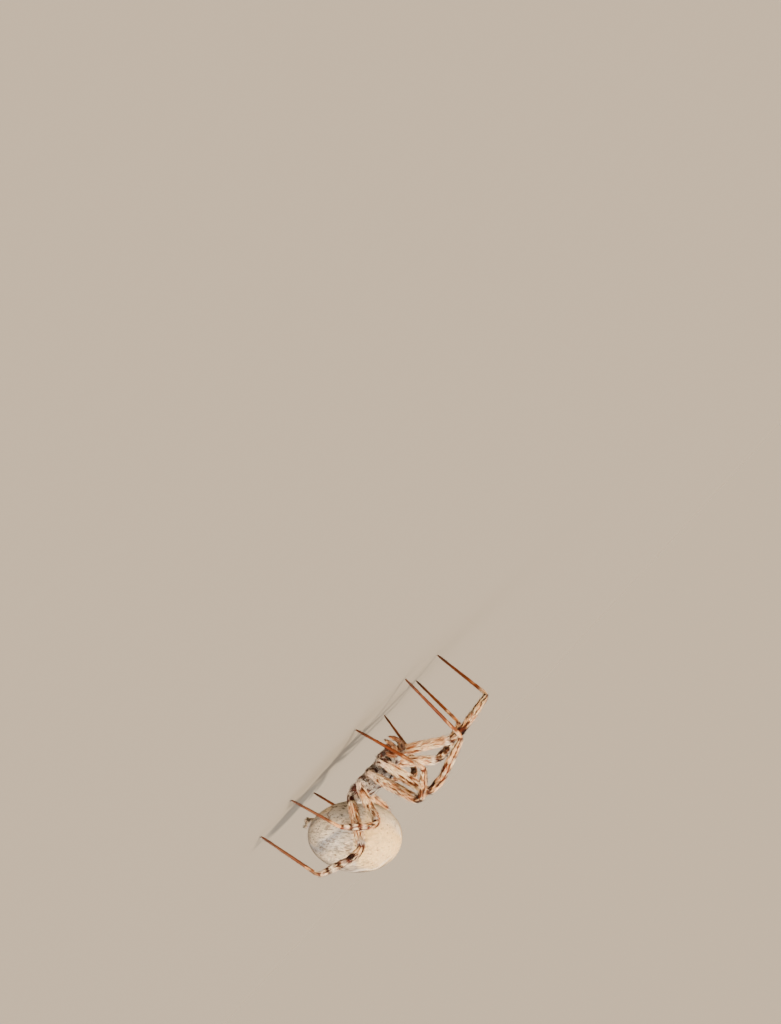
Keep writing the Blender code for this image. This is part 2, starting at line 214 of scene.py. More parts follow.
# Studio: the floor's half width and the lamps' distance in metres, the dome's strength, and the
# share of the floor's dome light that comes from the dome's low rim, which has the floor's own tone
FLOOR_HALF = 1.5
LAMP_DISTANCE = 0.3
SKY_STRENGTH = 1.0
RIM_SHARE = 0.28

# Lamps: name, azimuth, elevation, strength, width in degrees and so how soft, and tint
SUNS = (
    ("key", 50, 38, 9.3, 7, "FFECD2"),
    ("fill", 112, 12, 6.8, 40, "FFFAF4"),
    ("rim", 230, 35, 1.8, 25, "FFFFFF"),
)


def linear(code):
    """An sRGB hex colour as linear values."""
    parts = [int(code[i:i + 2], 16) / 255 for i in (0, 2, 4)]
    values = [c / 12.92 if c <= 0.04045 else ((c + 0.055) / 1.055) ** 2.4 for c in parts]
    return (*values, 1.0)


def tint(code):
    """An sRGB hex colour as an array of three linear values."""
    return np.array(linear(code)[:3])


def at(forward, left, up):
    """A place on the body, in the frame's axes and in millimetres."""
    return Vector((left + MIDLINE, PEDICEL_Y - forward, up + PEDICEL_HEIGHT))


def heading_to(azimuth, elevation):
    """The way out from the spider at an azimuth from straight ahead of her and an elevation."""
    level = cos(elevation)
    return Vector((sin(azimuth) * level, -cos(azimuth) * level, sin(elevation)))


def lattice_noise(points, pattern, extra=0):
    """Smooth noise between 0 and 1 at many points, from a pattern's cell size and seed."""
    size, seed = pattern
    spot = np.asarray(points, float) / size + (seed + extra) * 17.31
    cell = np.floor(spot).astype(np.int64)
    part = spot - cell
    part = part * part * (3 - 2 * part)
    total = np.zeros(len(spot))
    for corner in range(8):
        step = np.array([corner & 1, corner >> 1 & 1, corner >> 2 & 1])
        key = (cell + step) * np.array([73856093, 19349663, 83492791])
        mixed = (key[:, 0] ^ key[:, 1] ^ key[:, 2]) * 2654435761 & 0xFFFFFFFF
        value = (mixed >> 8 & 0xFFFF) / 65535
        total += value * np.prod(np.where(step, part, 1 - part), axis=1)
    return total


def smoothstep(low, high, value):
    """A soft ramp from 0 at one value to 1 at another."""
    share = np.clip((value - low) / (high - low), 0, 1)
    return share * share * (3 - 2 * share)


def unit(rows):
    """Each row of an array at length 1."""
    return rows / np.maximum(np.linalg.norm(rows, axis=1), 1e-6)[:, None]


def laid_over(colour, other, share):
    """One colour laid over another, as thickly at each point as its share."""
    return colour * (1 - share[:, None]) + other * share[:, None]


class Limb:
    """A leg or palp as samples along its middle line, with a frame and a radius at each."""

    def __init__(self, name, number, points, profiles, size, bend=BEND):
        self.name = name
        self.number = number
        self.offset = 0.0
        places, segments, shares = [], [], []
        last = len(points) - 2
        for i in range(last + 1):
            start, end = points[i], points[i + 1]
            length = (end - start).length
            along = (end - start) / length
            trim = min(bend, BEND_SHARE * length)
            first = trim if i else 0.0
            final = length - (trim if i < last else 0.0)
            count = max(4, int((final - first) / LIMB_STEP))
            for step in range(count + 1):
                here = first + (final - first) * step / count
                places.append(start + along * here)
                segments.append(i)
                shares.append(here / length)
            if i < last:
                following = (points[i + 2] - end).normalized()
                next_length = (points[i + 2] - end).length
                next_trim = min(bend, BEND_SHARE * next_length)
                before, after = end - along * trim, end + following * next_trim
                for step in range(1, BEND_STEPS):
                    share = step / BEND_STEPS
                    places.append(before.lerp(end, share).lerp(end.lerp(after, share), share))
                    segments.append(i if share < 0.5 else i + 1)
                    corner = 1 - trim / length * (1 - 2 * share)
                    beyond = next_trim / next_length * (2 * share - 1)
                    shares.append(min(corner, 1.0) if share < 0.5 else max(beyond, 0.0))
        self.places = np.array(places)
        self.segments = np.array(segments)
        self.shares = np.array(shares)
        steps = np.linalg.norm(np.diff(self.places, axis=0), axis=1)
        self.run = np.concatenate([[0], np.cumsum(steps)])
        tables = list(profiles.values())
        self.radii = np.empty(len(places))
        for k, (segment, share) in enumerate(zip(segments, shares)):
            table = tables[segment]
            self.radii[k] = np.interp(share, np.linspace(0, 1, len(table)), table) * size
        soft = np.array([0.25, 0.5, 0.25])
        for _ in range(2):
            self.radii[1:-1] = np.convolve(self.radii, soft, "valid")
        self.frames()

    def frames(self):
        """Heading, side and other side at each sample, turned as little as possible."""
        headings = unit(np.gradient(self.places, axis=0))
        side = Vector(headings[0]).orthogonal().normalized()
        sides = []
        for heading in headings:
            heading = Vector(heading)
            side = (side - heading * side.dot(heading)).normalized()
            sides.append(side.copy())
        self.headings = headings
        self.sides = np.array(sides)
        self.others = np.cross(headings, self.sides)

    def rings(self, count):
        """Rings of places round every sample."""
        turns = 2 * pi * np.arange(count) / count
        ring = self.sides[:, None] * np.cos(turns)[None, :, None]
        ring = ring + self.others[:, None] * np.sin(turns)[None, :, None]
        return self.places[:, None] + ring * self.radii[:, None, None]

    def on_surface(self, run, turn):
        """Places, normals and headings on the surface at distances along and angles round."""
        spot = [np.interp(run, self.run, self.places[:, i]) for i in range(3)]
        centre = np.stack(spot, axis=1)
        near = np.clip(np.searchsorted(self.run, run), 0, len(self.run) - 1)
        radius = np.interp(run, self.run, self.radii)
        normal = self.sides[near] * np.cos(turn)[:, None]
        normal = normal + self.others[near] * np.sin(turn)[:, None]
        return centre + normal * radius[:, None], normal, self.headings[near], near


def build_limbs():
    """The eight legs and two palps, each with its own place in the patterns."""
    limbs = []
    for (side, number), stance in STANCE.items():
        sign = 1 if side == "left" else -1
        forward, outward, direction = COXAE[number]
        angle = radians(direction)
        root = at(forward, sign * outward, COXA_UP)
        hip = root + Vector((sign * sin(angle), -cos(angle), 0)) * COXA_LENGTH
        knee, ankle, foot = (at(f, sign * out, up) for f, out, up in stance)
        shin, thigh = (ankle - knee).normalized(), (knee - hip).normalized()
        patella = knee + (shin * 0.8 + thigh * 0.2).normalized() * PATELLA_LENGTHS[number]
        toe = foot + Vector((0, 0, FOOT_HEIGHT))
        heel = toe + (ankle - toe).normalized() * TARSUS_LENGTHS[number]
        points = [root, hip, knee, patella, ankle, heel, toe]
        name = f"leg_{side}_{number}"
        limbs.append(Limb(name, number, points, LEG_PROFILES, LEG_SIZES[number]))
    for side, sign in (("left", 1), ("right", -1)):
        points = [at(f, sign * out, up) for f, out, up in PALP_PLACES]
        limbs.append(Limb(f"palp_{side}", 0, points, PALP_PROFILES, 1.0, PALP_BEND))
    for i, limb in enumerate(limbs):
        limb.offset = LIMB_SHIFT * i
    return limbs


def abdomen_axes():
    """The abdomen's centre, and its axis, left and back-up directions."""
    pitch = radians(ABDOMEN_PITCH)
    axis = Vector((0, -cos(pitch), sin(pitch)))
    return at(*ABDOMEN_CENTRE), axis, Vector((1, 0, 0)), Vector((0, sin(pitch), cos(pitch)))


def abdomen_surface(along, turn):
    """Places, normals and hair directions at shares of the axis and angles from the belly."""
    centre, axis, left, up = (np.array(v) for v in abdomen_axes())
    length, width, height = (size - SKIN_INSET for size in ABDOMEN_HALF_SIZES)
    girth = np.sqrt(np.clip(1 - along ** 2, 0, None)) * (1 + 0.05 * along)
    across = np.sin(turn) * girth * width
    rise = -np.cos(turn) * girth * height
    place = centre + axis * (along * length)[:, None] + left * across[:, None]
    place = place + up * rise[:, None]
    normal = axis * (along / length)[:, None]
    normal = normal + left * (np.sin(turn) * girth / width)[:, None]
    normal = normal + up * (-np.cos(turn) * girth / height)[:, None]
    normal = unit(normal)
    return place, normal, unit(-axis - normal * (normal @ -axis)[:, None])


def front_section(forward, turn):
    """Places on the front body at distances forward and angles from its left side."""
    tables = (HALF_WIDTHS, TOPS, STERNUM_WIDTHS, BOTTOMS)
    half, top, sternum, bottom = (np.interp(forward, STATIONS, table) for table in tables)
    edge = np.minimum(CARAPACE_EDGE, top - 0.15)
    c, s = np.cos(turn), np.sin(turn)
    reach, lift = np.abs(c), np.abs(s)
    under = np.sign(c) * reach ** 0.7 * (sternum + (half - sternum) * reach ** 6)
    left = np.where(s >= 0, half * c, under)
    rise = edge + np.where(s >= 0, (top - edge) * lift ** 0.8, (bottom - edge) * lift ** 0.7)
    return np.stack([left + MIDLINE, PEDICEL_Y - forward, rise + PEDICEL_HEIGHT], axis=1)


def closed_loft(rings):
    """Points and faces of a skin over rings, its ends closed."""
    count = len(rings[0])
    points = [tuple(p) for ring in rings for p in ring]
    faces = []
    for k in range(len(rings) - 1):
        for i in range(count):
            j = (i + 1) % count
            low, high = k * count, (k + 1) * count
            faces.append((low + i, low + j, high + j, high + i))
    faces.append(tuple(range(count - 1, -1, -1)))
    faces.append(tuple(range((len(rings) - 1) * count, len(rings) * count)))
    return points, faces


def ball(centre, half_sizes, turn=0.0):
    """Points and faces of an ellipsoid turned about the vertical."""
    rings = []
    spin = Matrix.Rotation(turn, 3, "Z")
    for k in range(1, BALL_SIDES // 2):
        angle = pi * k / (BALL_SIDES // 2)
        ring = []
        for i in range(BALL_SIDES):
            around = 2 * pi * i / BALL_SIDES
            local = (cos(angle), sin(angle) * cos(around), sin(angle) * sin(around))
            ring.append(centre + spin @ Vector([a * b for a, b in zip(local, half_sizes)]))
        rings.append(ring)
    return closed_loft(rings)


def circle(middle, first, second, sides):
    """Places on a ring, from the two half axes it is drawn with."""
    turns = (2 * pi * i / sides for i in range(sides))
    return [middle + first * cos(turn) + second * sin(turn) for turn in turns]


def cone(start, end, first, last, sides=STUB_SIDES, dome=True):
    """Points and faces of a tapered stub, rounded at its end."""
    aim = (end - start).normalized()
    side = aim.orthogonal().normalized()
    other = aim.cross(side)
    out = []
    for k in range(STUB_RINGS + 1):
        share = k / STUB_RINGS
        radius = first + (last - first) * share
        if dome and share > 0.8:
            radius *= max(0.25, (1 - ((share - 0.8) / 0.2) ** 2) ** 0.5)
        out.append(circle(start.lerp(end, share), side * radius, other * radius, sides))
    return closed_loft(out)


def joined(pieces):
    """Several points-and-faces lists as one."""
    points, faces = [], []
    for some_points, some_faces in pieces:
        base = len(points)
        points.extend(tuple(p) for p in some_points)
        faces.extend(tuple(base + i for i in face) for face in some_faces)
    return points, faces


def mesh_of(name, points, faces, scale=MM):
    """A mesh from points in millimetres, turned to metres unless another scale is given."""
    made = bpy.data.meshes.new(name)
    made.from_pydata([tuple(Vector(p) * scale) for p in points], [], faces)
    return made


def read(items, key, width, kind=np.float32):
    """One property of every item of a mesh's list, a row for each item."""
    values = np.empty(len(items) * width, kind)
    items.foreach_get(key, values)
    return values.reshape(-1, width)


def placed(name, made, finishes, nodes=()):
    """Sets a smooth-shaded piece in the scene, riding the body, in place of the solids named."""
    for finish in finishes:
        made.materials.append(finish)
    made.shade_smooth()
    obj = bpy.data.objects.new(name, made)
    bpy.context.scene.collection.objects.link(obj)
    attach(obj, "root")
    if nodes:
        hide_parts(*nodes)


def spinneret_places():
    """Where the spinnerets grow from, and the way they point."""
    pitch = radians(ABDOMEN_PITCH + SPINNERET_TURN)
    aim = Vector((0, cos(pitch), -sin(pitch)))
    centre, axis, left, up = abdomen_axes()
    length, _, height = ABDOMEN_HALF_SIZES
    reach = 1 / ((aim.dot(axis) / length) ** 2 + (aim.dot(up) / height) ** 2) ** 0.5
    return centre + aim * reach, aim, left, aim.cross(left)


def spinneret_stubs():
    """Start, end and the radii there of each of the six spinnerets."""
    root, aim, left, up = spinneret_places()
    stubs = []
    sizes = zip(SPINNERET_LENGTHS, SPINNERET_RADII, SPINNERET_SPREAD)
    for length, radius, (out, rise) in sizes:
        for sign in (-1, 1):
            foot = root + left * sign * out + up * rise
            tip = foot + aim * (length + 0.18) + up * rise * 0.3
            stubs.append((foot, tip, radius, radius * 0.6))
    return stubs


def skin_pieces(limbs):
    """Every fleshy form as overlapping closed shapes in millimetres."""
    pieces = []
    along = np.cos(pi * np.arange(1, ABDOMEN_RINGS + 1) / (ABDOMEN_RINGS + 1))
    turns = 2 * pi * np.arange(ABDOMEN_SIDES) / ABDOMEN_SIDES
    rings = [abdomen_surface(np.full(ABDOMEN_SIDES, share), turns)[0] for share in along]
    pieces.append(closed_loft(rings))
    forward = np.linspace(STATIONS[0], STATIONS[-1] - 0.03, FRONT_RINGS)
    turns = 2 * pi * np.arange(FRONT_SIDES) / FRONT_SIDES
    rings = [front_section(np.full(FRONT_SIDES, f), turns) for f in forward]
    pieces.append(closed_loft(rings))
    waist = at(*WAIST)
    inside = waist + (at(*ABDOMEN_CENTRE) - waist).normalized() * WAIST_LENGTH
    pieces.append(cone(waist, inside, *WAIST_RADII, dome=False))
    for limb in limbs:
        pieces.append(closed_loft(limb.rings(LIMB_SIDES)))
    for sign in (-1, 1):
        for f, out, direction in COXAE.values():
            angle = radians(direction)
            middle = at(f + 0.5 * cos(angle), sign * (out + 0.5 * sin(angle)), COXA_UP - 0.02)
            pieces.append(ball(middle, COXA_SWELLING, sign * angle - pi / 2))
        (f, out, up), half_sizes, turn = MOUTH_PLATE
        pieces.append(ball(at(f, sign * out, up), half_sizes, turn * sign))
        pieces.append(jaw(sign))
    pieces.append(ball(at(*LIP[0]), LIP[1]))
    root, aim, _, _ = spinneret_places()
    inner, outer = TAIL_REACH
    pieces.append(cone(root - aim * inner, root + aim * outer, *TAIL_RADII, sides=TAIL_SIDES))
    pieces += [cone(*stub) for stub in spinneret_stubs()]
    return pieces


def jaw(sign):
    """One chelicera, a swollen stub below the face."""
    rings = []
    for k in range(JAW_RINGS + 1):
        share = k / JAW_RINGS
        swell = 1 + 0.18 * sin(pi * min(1, share * 1.3)) - 0.3 * share
        if share > 0.85:
            swell *= (1 - ((share - 0.85) / 0.17) ** 2) ** 0.5
        forward, out, up = (start + way * share for start, way in zip(JAW_START, JAW_WAY))
        middle = at(forward, sign * out, up)
        if share < 0.2:
            middle += Vector((0, 0.35 * (0.2 - share) / 0.2, 0))
        across, deep = (half * swell for half in JAW_HALF_SIZES)
        rings.append(circle(middle, Vector((across, 0, 0)), Vector((0, deep, 0)), JAW_SIDES))
    return closed_loft(rings)


def remeshed(points, faces, name, voxel, smooth):
    """One closed skin over overlapping shapes, its joins rounded."""
    obj = bpy.data.objects.new(name, mesh_of(name, points, faces, 1.0))
    bpy.context.scene.collection.objects.link(obj)
    remesh = obj.modifiers.new("Remesh", "REMESH")
    remesh.mode = "VOXEL"
    remesh.voxel_size = voxel
    soften = obj.modifiers.new("Smooth", "SMOOTH")
    soften.factor = 0.5
    soften.iterations = smooth
    graph = bpy.context.evaluated_depsgraph_get()
    final = bpy.data.meshes.new_from_object(obj.evaluated_get(graph))
    bpy.data.objects.remove(obj, do_unlink=True)
    final.name = name
    return final


# Markings, shared by the skin and the coat

# Tones read from the photo
CREAM = tint("F0DCBC")
PALE = tint("FAEBD6")
TAN = tint("DCB266")
BLUE_GREY = tint("989BA3")
BROWN_GREY = tint("6F6053")
DASH = tint("5C4636")
STRAND = tint("F8DEAE")
STRAW = tint("EBB476")
ORANGE = tint("9A4E14")
RUST = tint("5C280A")
ROSE_BROWN = tint("4C2C14")
MAHOGANY = tint("4C1A0E")
CHESTNUT = tint("742A12")
NEAR_BLACK = tint("1A0E0B")
SPINNERET_TAN = tint("A8957C")
SILVER = tint("C8C1B6")

# Each pattern is the size of its cells in millimetres, the same all ways or along the part and
# across it, and its seed

# On the legs: streaks of the net on the thighs, blotches, fine specks and breaks in the lines
STREAKS = ((0.77, 0.2, 0.2), 3)
BLOTCHES = ((0.45, 0.42, 0.42), 40)
SPECKS = ((0.36, 0.12, 0.12), 60)
BREAKS = ((0.42, 0.33, 0.33), 80)

# On the abdomen: wandering edges, mottling, specks of the plate and rows of dashes
WANDER = ((2.0, 0.9, 0.9), 7)
MOTTLING = ((0.83, 0.29, 0.29), 9)
PLATE_SPECKS = (0.167, 11)
DASH_ROWS = ((0.19, 0.074, 0.074), 13)

# On the front body: patches, their finer breaks and black specks; and spots on the spinnerets
PATCHES = (0.38, 21)
PATCH_BREAKS = (0.167, 22)
BLACK_SPECKS = (0.11, 23)
TAIL_SPOTS = (0.2, 31)

# Skin counts as abdomen up to so many times the egg's size. It counts as a limb past so many
# millimetres along it, and up to so many radii and so many millimetres from its middle line
EGG_REACH = 1.03
LIMB_START = 0.95
LIMB_REACH = (1.35, 0.03)

# How much of a deeper tone the skin under the coat has on the abdomen, front body and legs
UNDER_SHARES = (0.12, 0.5, 0.35)


def leg_colour(number, segment, share, grain, turn):
    """Straw hair streaked orange, dark joints and rusty thin ends, banded on the last two pairs."""
    streak = lattice_noise(grain, STREAKS, number)
    blotch = lattice_noise(grain, BLOTCHES, number)
    fine = lattice_noise(grain, SPECKS, number)
    broken = lattice_noise(grain, BREAKS, number)
    name = np.array(SEGMENTS)[segment]
    coxa, thigh, knee, shin, slender, foot = (name == part for part in SEGMENTS)
    line = np.cos(np.where(shin, SHIN_LINES, THIGH_LINES) * turn + 6 * (streak - 0.5))
    gaps = smoothstep(0.0, 0.4, line) * smoothstep(0.35, 0.47, broken)
    colour = laid_over(STRAW, STRAND, smoothstep(0.35, 0.6, blotch))
    colour = laid_over(colour, ORANGE, np.maximum(gaps, smoothstep(0.6, 0.68, fine)) * 0.9)

    # A black and white spot at the thigh's end, a mottled kneecap, and a shin striped and ringed
    dark = np.maximum.reduce([
        thigh * smoothstep(0.9, 0.96, share) * smoothstep(0.35, 0.5, blotch),
        thigh * smoothstep(0.66, 0.74, fine) * 0.8,
        knee * smoothstep(0.38, 0.52, (blotch + fine) / 2),
        shin * smoothstep(-0.25, 0.15, line) * smoothstep(0.22, 0.35, broken) * 0.95,
        shin * smoothstep(0.2, 0.05, share) * smoothstep(0.35, 0.5, blotch),
        shin * smoothstep(0.88, 0.94, share),
    ])
    if number in (3, 4):
        wave = np.cos(share * 2 * pi * SHIN_RINGS + 0.6)
        colour = laid_over(colour, PALE, shin * smoothstep(0.0, -0.5, wave) * 0.4)
        dark = np.maximum.reduce([
            dark * (1 - shin * smoothstep(0.1, -0.6, wave) * 0.3),
            shin * smoothstep(0.2, 0.6, wave) * smoothstep(0.2, 0.35, blotch),
            thigh * smoothstep(0.8, 0.88, share) * smoothstep(0.3, 0.5, blotch),
            thigh * smoothstep(0.62, 0.7, blotch) * 0.6,
        ])
    if not number:
        colour = laid_over(colour, RUST, smoothstep(0.3, 0.45, blotch) * 0.85)
        dark = np.maximum(smoothstep(0.5, 0.6, fine) * 0.9, smoothstep(0.8, 0.92, share))
    hip = coxa | (thigh & (share < 0.12))
    colour = laid_over(colour, PALE, hip * 0.6)
    dark = np.maximum(dark, hip * smoothstep(0.47, 0.57, (blotch + fine) / 2))
    black = np.maximum(smoothstep(0.35, 0.75, streak), knee * smoothstep(0.4, 0.6, fine))
    colour = laid_over(colour, laid_over(MAHOGANY, NEAR_BLACK, black), dark)
    spot = thigh * np.exp(-((share - 0.9) / 0.025) ** 2) * smoothstep(0.35, 0.5, blotch)
    colour = laid_over(colour, PALE, spot * 0.9)
    if not number:
        return colour

    # The thin lengths are bare of stripes, with a dark spot where they meet and a dark tip
    thin = slender * smoothstep(0.0, 0.35, share + (blotch - 0.5) * 0.5) + foot * 1.0
    tone = ROSE_BROWN if number in (3, 4) else RUST
    rust = laid_over(tone, MAHOGANY, smoothstep(0.45, 0.8, streak) * 0.6)
    colour = laid_over(colour, rust, thin)
    colour = laid_over(colour, NEAR_BLACK, foot * smoothstep(-0.2, 0.5, share) * 0.97)
    joint = slender * smoothstep(0.94, 1.0, share) + foot * smoothstep(0.12, 0.0, share)
    return laid_over(colour, NEAR_BLACK, np.clip(joint, 0, 1) * 0.8)


def abdomen_colour(along, turn, grain):
    """Cream down with grey bands, silver before the furrow and a brown-grey leaf on the back."""
    side = np.abs(np.degrees(np.arctan2(np.sin(turn), np.cos(turn))))
    wander = lattice_noise(grain, WANDER)
    mottle = lattice_noise(grain, MOTTLING)
    speck = lattice_noise(grain, PLATE_SPECKS)
    flank = side + (wander - 0.5) * 24
    colour = laid_over(CREAM, PALE, smoothstep(0.45, 0.8, wander) * 0.8)
    warm = smoothstep(5, 65, flank) * smoothstep(-0.15, 0.4, along)
    colour = laid_over(colour, TAN, warm * 0.85)

    # Bands: one beside the belly, one slanting down the flank, one round the egg behind the furrow,
    # then the tail end, and one along the rim of the back that is partly grey marking, partly
    # painted shade
    behind = smoothstep(0.3, 0.05, along)
    band = np.exp(-((flank - 26) / 9) ** 2) * behind * 0.8
    band = band + np.exp(-((flank - 68 + 62 * along) / 10) ** 2) * behind
    band = band + np.exp(-((along - 0.16) / 0.05) ** 2) * smoothstep(55, 80, side) * 0.7
    band = band + smoothstep(-0.5, -1.0, along) * 0.6
    band = band + smoothstep(125, 150, flank) * smoothstep(0.5, 0.0, along) * 0.9
    band = np.clip(band * smoothstep(0.0, 0.5, mottle + 0.2), 0, 1)
    colour = laid_over(colour, BLUE_GREY, band * 0.85)
    colour = laid_over(colour, BROWN_GREY, smoothstep(0.6, 0.85, mottle) * 0.2)
    row = lattice_noise(grain, DASH_ROWS)
    thin = 0.25 + 0.75 * smoothstep(0.6, 0.2, along)
    colour = laid_over(colour, DASH, smoothstep(0.58, 0.68, row) * thin * 0.72)
    # Darker along the rim of the back behind the middle: partly the skin's own grey-brown, partly
    # painted shade over the egg's outline; brown-grey also towards the tail end
    edge = smoothstep(112, 140, flank) * smoothstep(0.5, -0.1, along)
    tail = smoothstep(-0.75, -1.0, along)
    colour = laid_over(colour, BROWN_GREY, np.maximum(edge * 0.85, tail * 0.45))
    rim = smoothstep(132, 152, flank) * smoothstep(0.45, 0.0, along)
    colour = laid_over(colour, DASH, rim * 0.7)

    # The leaf on the back: brown-grey inside, then a dark line and a pale one along its scallops
    scallop = 158 + 6 * np.cos(along * 12)
    inner = smoothstep(0.9, 0.6, np.abs(along - 0.05))
    leaf = smoothstep(scallop - 5, scallop + 4, side) * inner * smoothstep(0.1, 0.45, mottle + 0.2)
    colour = laid_over(colour, BROWN_GREY, leaf * 0.8)
    colour = laid_over(colour, DASH, np.exp(-((side - scallop - 3) / 3.5) ** 2) * inner * 0.45)
    colour = laid_over(colour, PALE, np.exp(-((side - scallop + 9) / 4) ** 2) * inner * 0.6)

    # Silver skin between the waist and the furrow, with black specks
    plate = smoothstep(50, 40, side) * smoothstep(-0.44, -0.4, along) * smoothstep(0.42, 0.3, along)
    colour = laid_over(colour, SILVER, plate * 0.85)
    colour = laid_over(colour, NEAR_BLACK, plate * smoothstep(0.66, 0.74, speck) * 0.9)
    course = along + 0.42 + 0.04 * np.cos(radians(12) * side)
    furrow = np.exp(-(course / 0.018) ** 2) * smoothstep(56, 44, side)
    return laid_over(colour, MAHOGANY, furrow * 0.9)


def front_colour(places):
    """Silver hair over mahogany cuticle, darkest beside the coxae and round the mouth."""
    forward = PEDICEL_Y - places[:, 1]
    left = np.abs(places[:, 0] - MIDLINE)
    rise = places[:, 2] - PEDICEL_HEIGHT
    blotch = lattice_noise(places, PATCHES)
    fine = lattice_noise(places, PATCH_BREAKS)
    speck = lattice_noise(places, BLACK_SPECKS)
    colour = laid_over(SILVER, PALE, smoothstep(0.4, 0.8, fine) * 0.9)
    beside = smoothstep(0.35, 0.8, left) * smoothstep(0.5, 0.1, rise)
    patch = smoothstep(0.55, 0.6, blotch * 0.55 + fine * 0.45 + 0.12 * beside)
    mouth = smoothstep(3.4, 3.8, forward) * smoothstep(0.0, -0.3, rise)
    mouth = mouth * smoothstep(0.3, 0.5, fine)
    groove = np.exp(-((rise - 0.22) / 0.12) ** 2) * smoothstep(0.4, 0.8, left)
    groove = groove * smoothstep(0.35, 0.6, blotch)
    colour = laid_over(colour, NEAR_BLACK, smoothstep(0.64, 0.7, speck) * 0.9)
    patch = np.clip(patch + mouth + groove, 0, 1) * 0.95
    brown = laid_over(CHESTNUT, NEAR_BLACK, smoothstep(0.4, 0.65, fine))
    return laid_over(colour, brown, patch)


def limb_tree(limbs):
    """A tree that finds the nearest limb sample, and the limb and sample behind each entry."""
    tree = KDTree(sum(len(limb.places) for limb in limbs))
    owners = []
    for which, limb in enumerate(limbs):
        for k, place in enumerate(limb.places):
            tree.insert(place, len(owners))
            owners.append((which, k))
    tree.balance()
    return tree, np.array(owners)


def skin_markings(points, limbs):
    """Colour, hair coordinates and region of skin points: 0 abdomen, 1 front body, 2 limb."""
    tree, owners = limb_tree(limbs)
    found = np.array([tree.find(p)[1:] for p in points])
    owner = owners[found[:, 0].astype(int)]
    distance = found[:, 1]
    centre, axis, left, up = (np.array(v) for v in abdomen_axes())
    local = points - centre
    length, width, height = ABDOMEN_HALF_SIZES
    along, across, rise = local @ axis, local @ left, local @ up
    egg = np.sqrt((along / length) ** 2 + (across / width) ** 2 + (rise / height) ** 2)
    colour = front_colour(points)
    grain = np.stack([MIDLINE - points[:, 1], points[:, 0], points[:, 2]], axis=1)
    region = np.ones(len(points), int)
    for which, limb in enumerate(limbs):
        mine = owner[:, 0] == which
        sample = owner[:, 1].clip(max=len(limb.radii) - 1)
        close = mine & (distance < limb.radii[sample] * LIMB_REACH[0] + LIMB_REACH[1])
        index = np.flatnonzero(close & (limb.run[sample] > LIMB_START) & (egg > EGG_REACH))
        if not len(index):
            continue
        k = sample[index]
        offset = points[index] - limb.places[k]
        ways = (limb.headings, limb.sides, limb.others)
        ahead, beside, above = ((offset * way[k]).sum(1) for way in ways)
        grain[index] = np.stack([limb.run[k] + ahead, beside + limb.offset, above], axis=1)
        turn = np.arctan2(above, beside)
        colour[index] = leg_colour(
            limb.number, limb.segments[k], limb.shares[k], grain[index], turn)
        region[index] = 2
    belly = egg < EGG_REACH
    spot = np.clip(along[belly] / length, -1, 1)
    turn = np.arctan2(across[belly] / width, -rise[belly] / height)
    grain[belly] = np.stack([np.arcsin(spot) * length, across[belly], rise[belly]], axis=1)
    colour[belly] = abdomen_colour(spot, turn, grain[belly])
    region[belly] = 0
    stubs = (PEDICEL_Y - points[:, 1] < -1) & (region == 1)
    spots = lattice_noise(points[stubs], TAIL_SPOTS)
    colour[stubs] = laid_over(SPINNERET_TAN, NEAR_BLACK, smoothstep(0.5, 0.65, spots))
    region[stubs] = 0
    return colour, grain, region


def skin_tone(colour, region):
    """The skin under the coat, browner than the hair on the legs and front body."""
    under = np.array(UNDER_SHARES)[region]
    deep = np.array([CREAM * 0.8, MAHOGANY, ORANGE * 0.5])[region]
    return laid_over(colour, deep, under)


def give_attributes(target, colour, grain=None):
    """Stores the markings, and the coordinates that run with the hair, on a mesh's points."""
    full = np.ones((len(colour), 4), np.float32)
    full[:, :3] = colour
    marking = target.attributes.new("marking", "FLOAT_COLOR", "POINT")
    marking.data.foreach_set("color", full.ravel())
    if grain is not None:
        lie = target.attributes.new("grain", "FLOAT_VECTOR", "POINT")
        lie.data.foreach_set("vector", np.asarray(grain, np.float32).ravel())


# Materials

# Real hairs of a spider are near 0.01 mm thick, far below a pixel of the photo, which is 0.08 mm.
# So the streaks between them are drawn coarser here, and the hairs of the coat two to four times
# as thick as real ones, so that they show. All sizes here are in millimetres.
ABDOMEN_STREAK = 0.11
FRONT_STREAK = 0.1

# How high a streak stands, how far light passes into skin, the size of the clouds in bare chitin,
# and that of the mottling which a roller leaves in paint
STREAK_RELIEF = 0.04
LIGHT_DEPTH = 0.4
CUTICLE_CLOUD = 0.25
ROLLER_MOTTLE = 1.1

# Share that the pattern of dashes is squeezed to along the hair, so that round cells come out long
DASH_STRETCH = 0.35


def add(tree, kind, inputs=None, **settings):
    """Adds a node with its settings, and its inputs as values or links."""
    made = tree.nodes.new(kind)
    for key, value in settings.items():
        setattr(made, key, value)
    for key, value in (inputs or {}).items():
        if isinstance(value, bpy.types.NodeSocket):
            tree.links.new(value, made.inputs[key])
        else:
            made.inputs[key].default_value = value
    return made


def surface(name, roughness, specular, **sockets):
    """A material with its Principled shader, whose uniform values are set on the sockets."""
    made = bpy.data.materials.new(name)
    made.use_nodes = True
    tree = made.node_tree
    shader = tree.nodes["Principled BSDF"]
    shader.inputs["Roughness"].default_value = roughness
    shader.inputs["Specular IOR Level"].default_value = specular
    for key, value in sockets.items():
        shader.inputs[key.replace("_", " ")].default_value = value
    return made, tree, shader


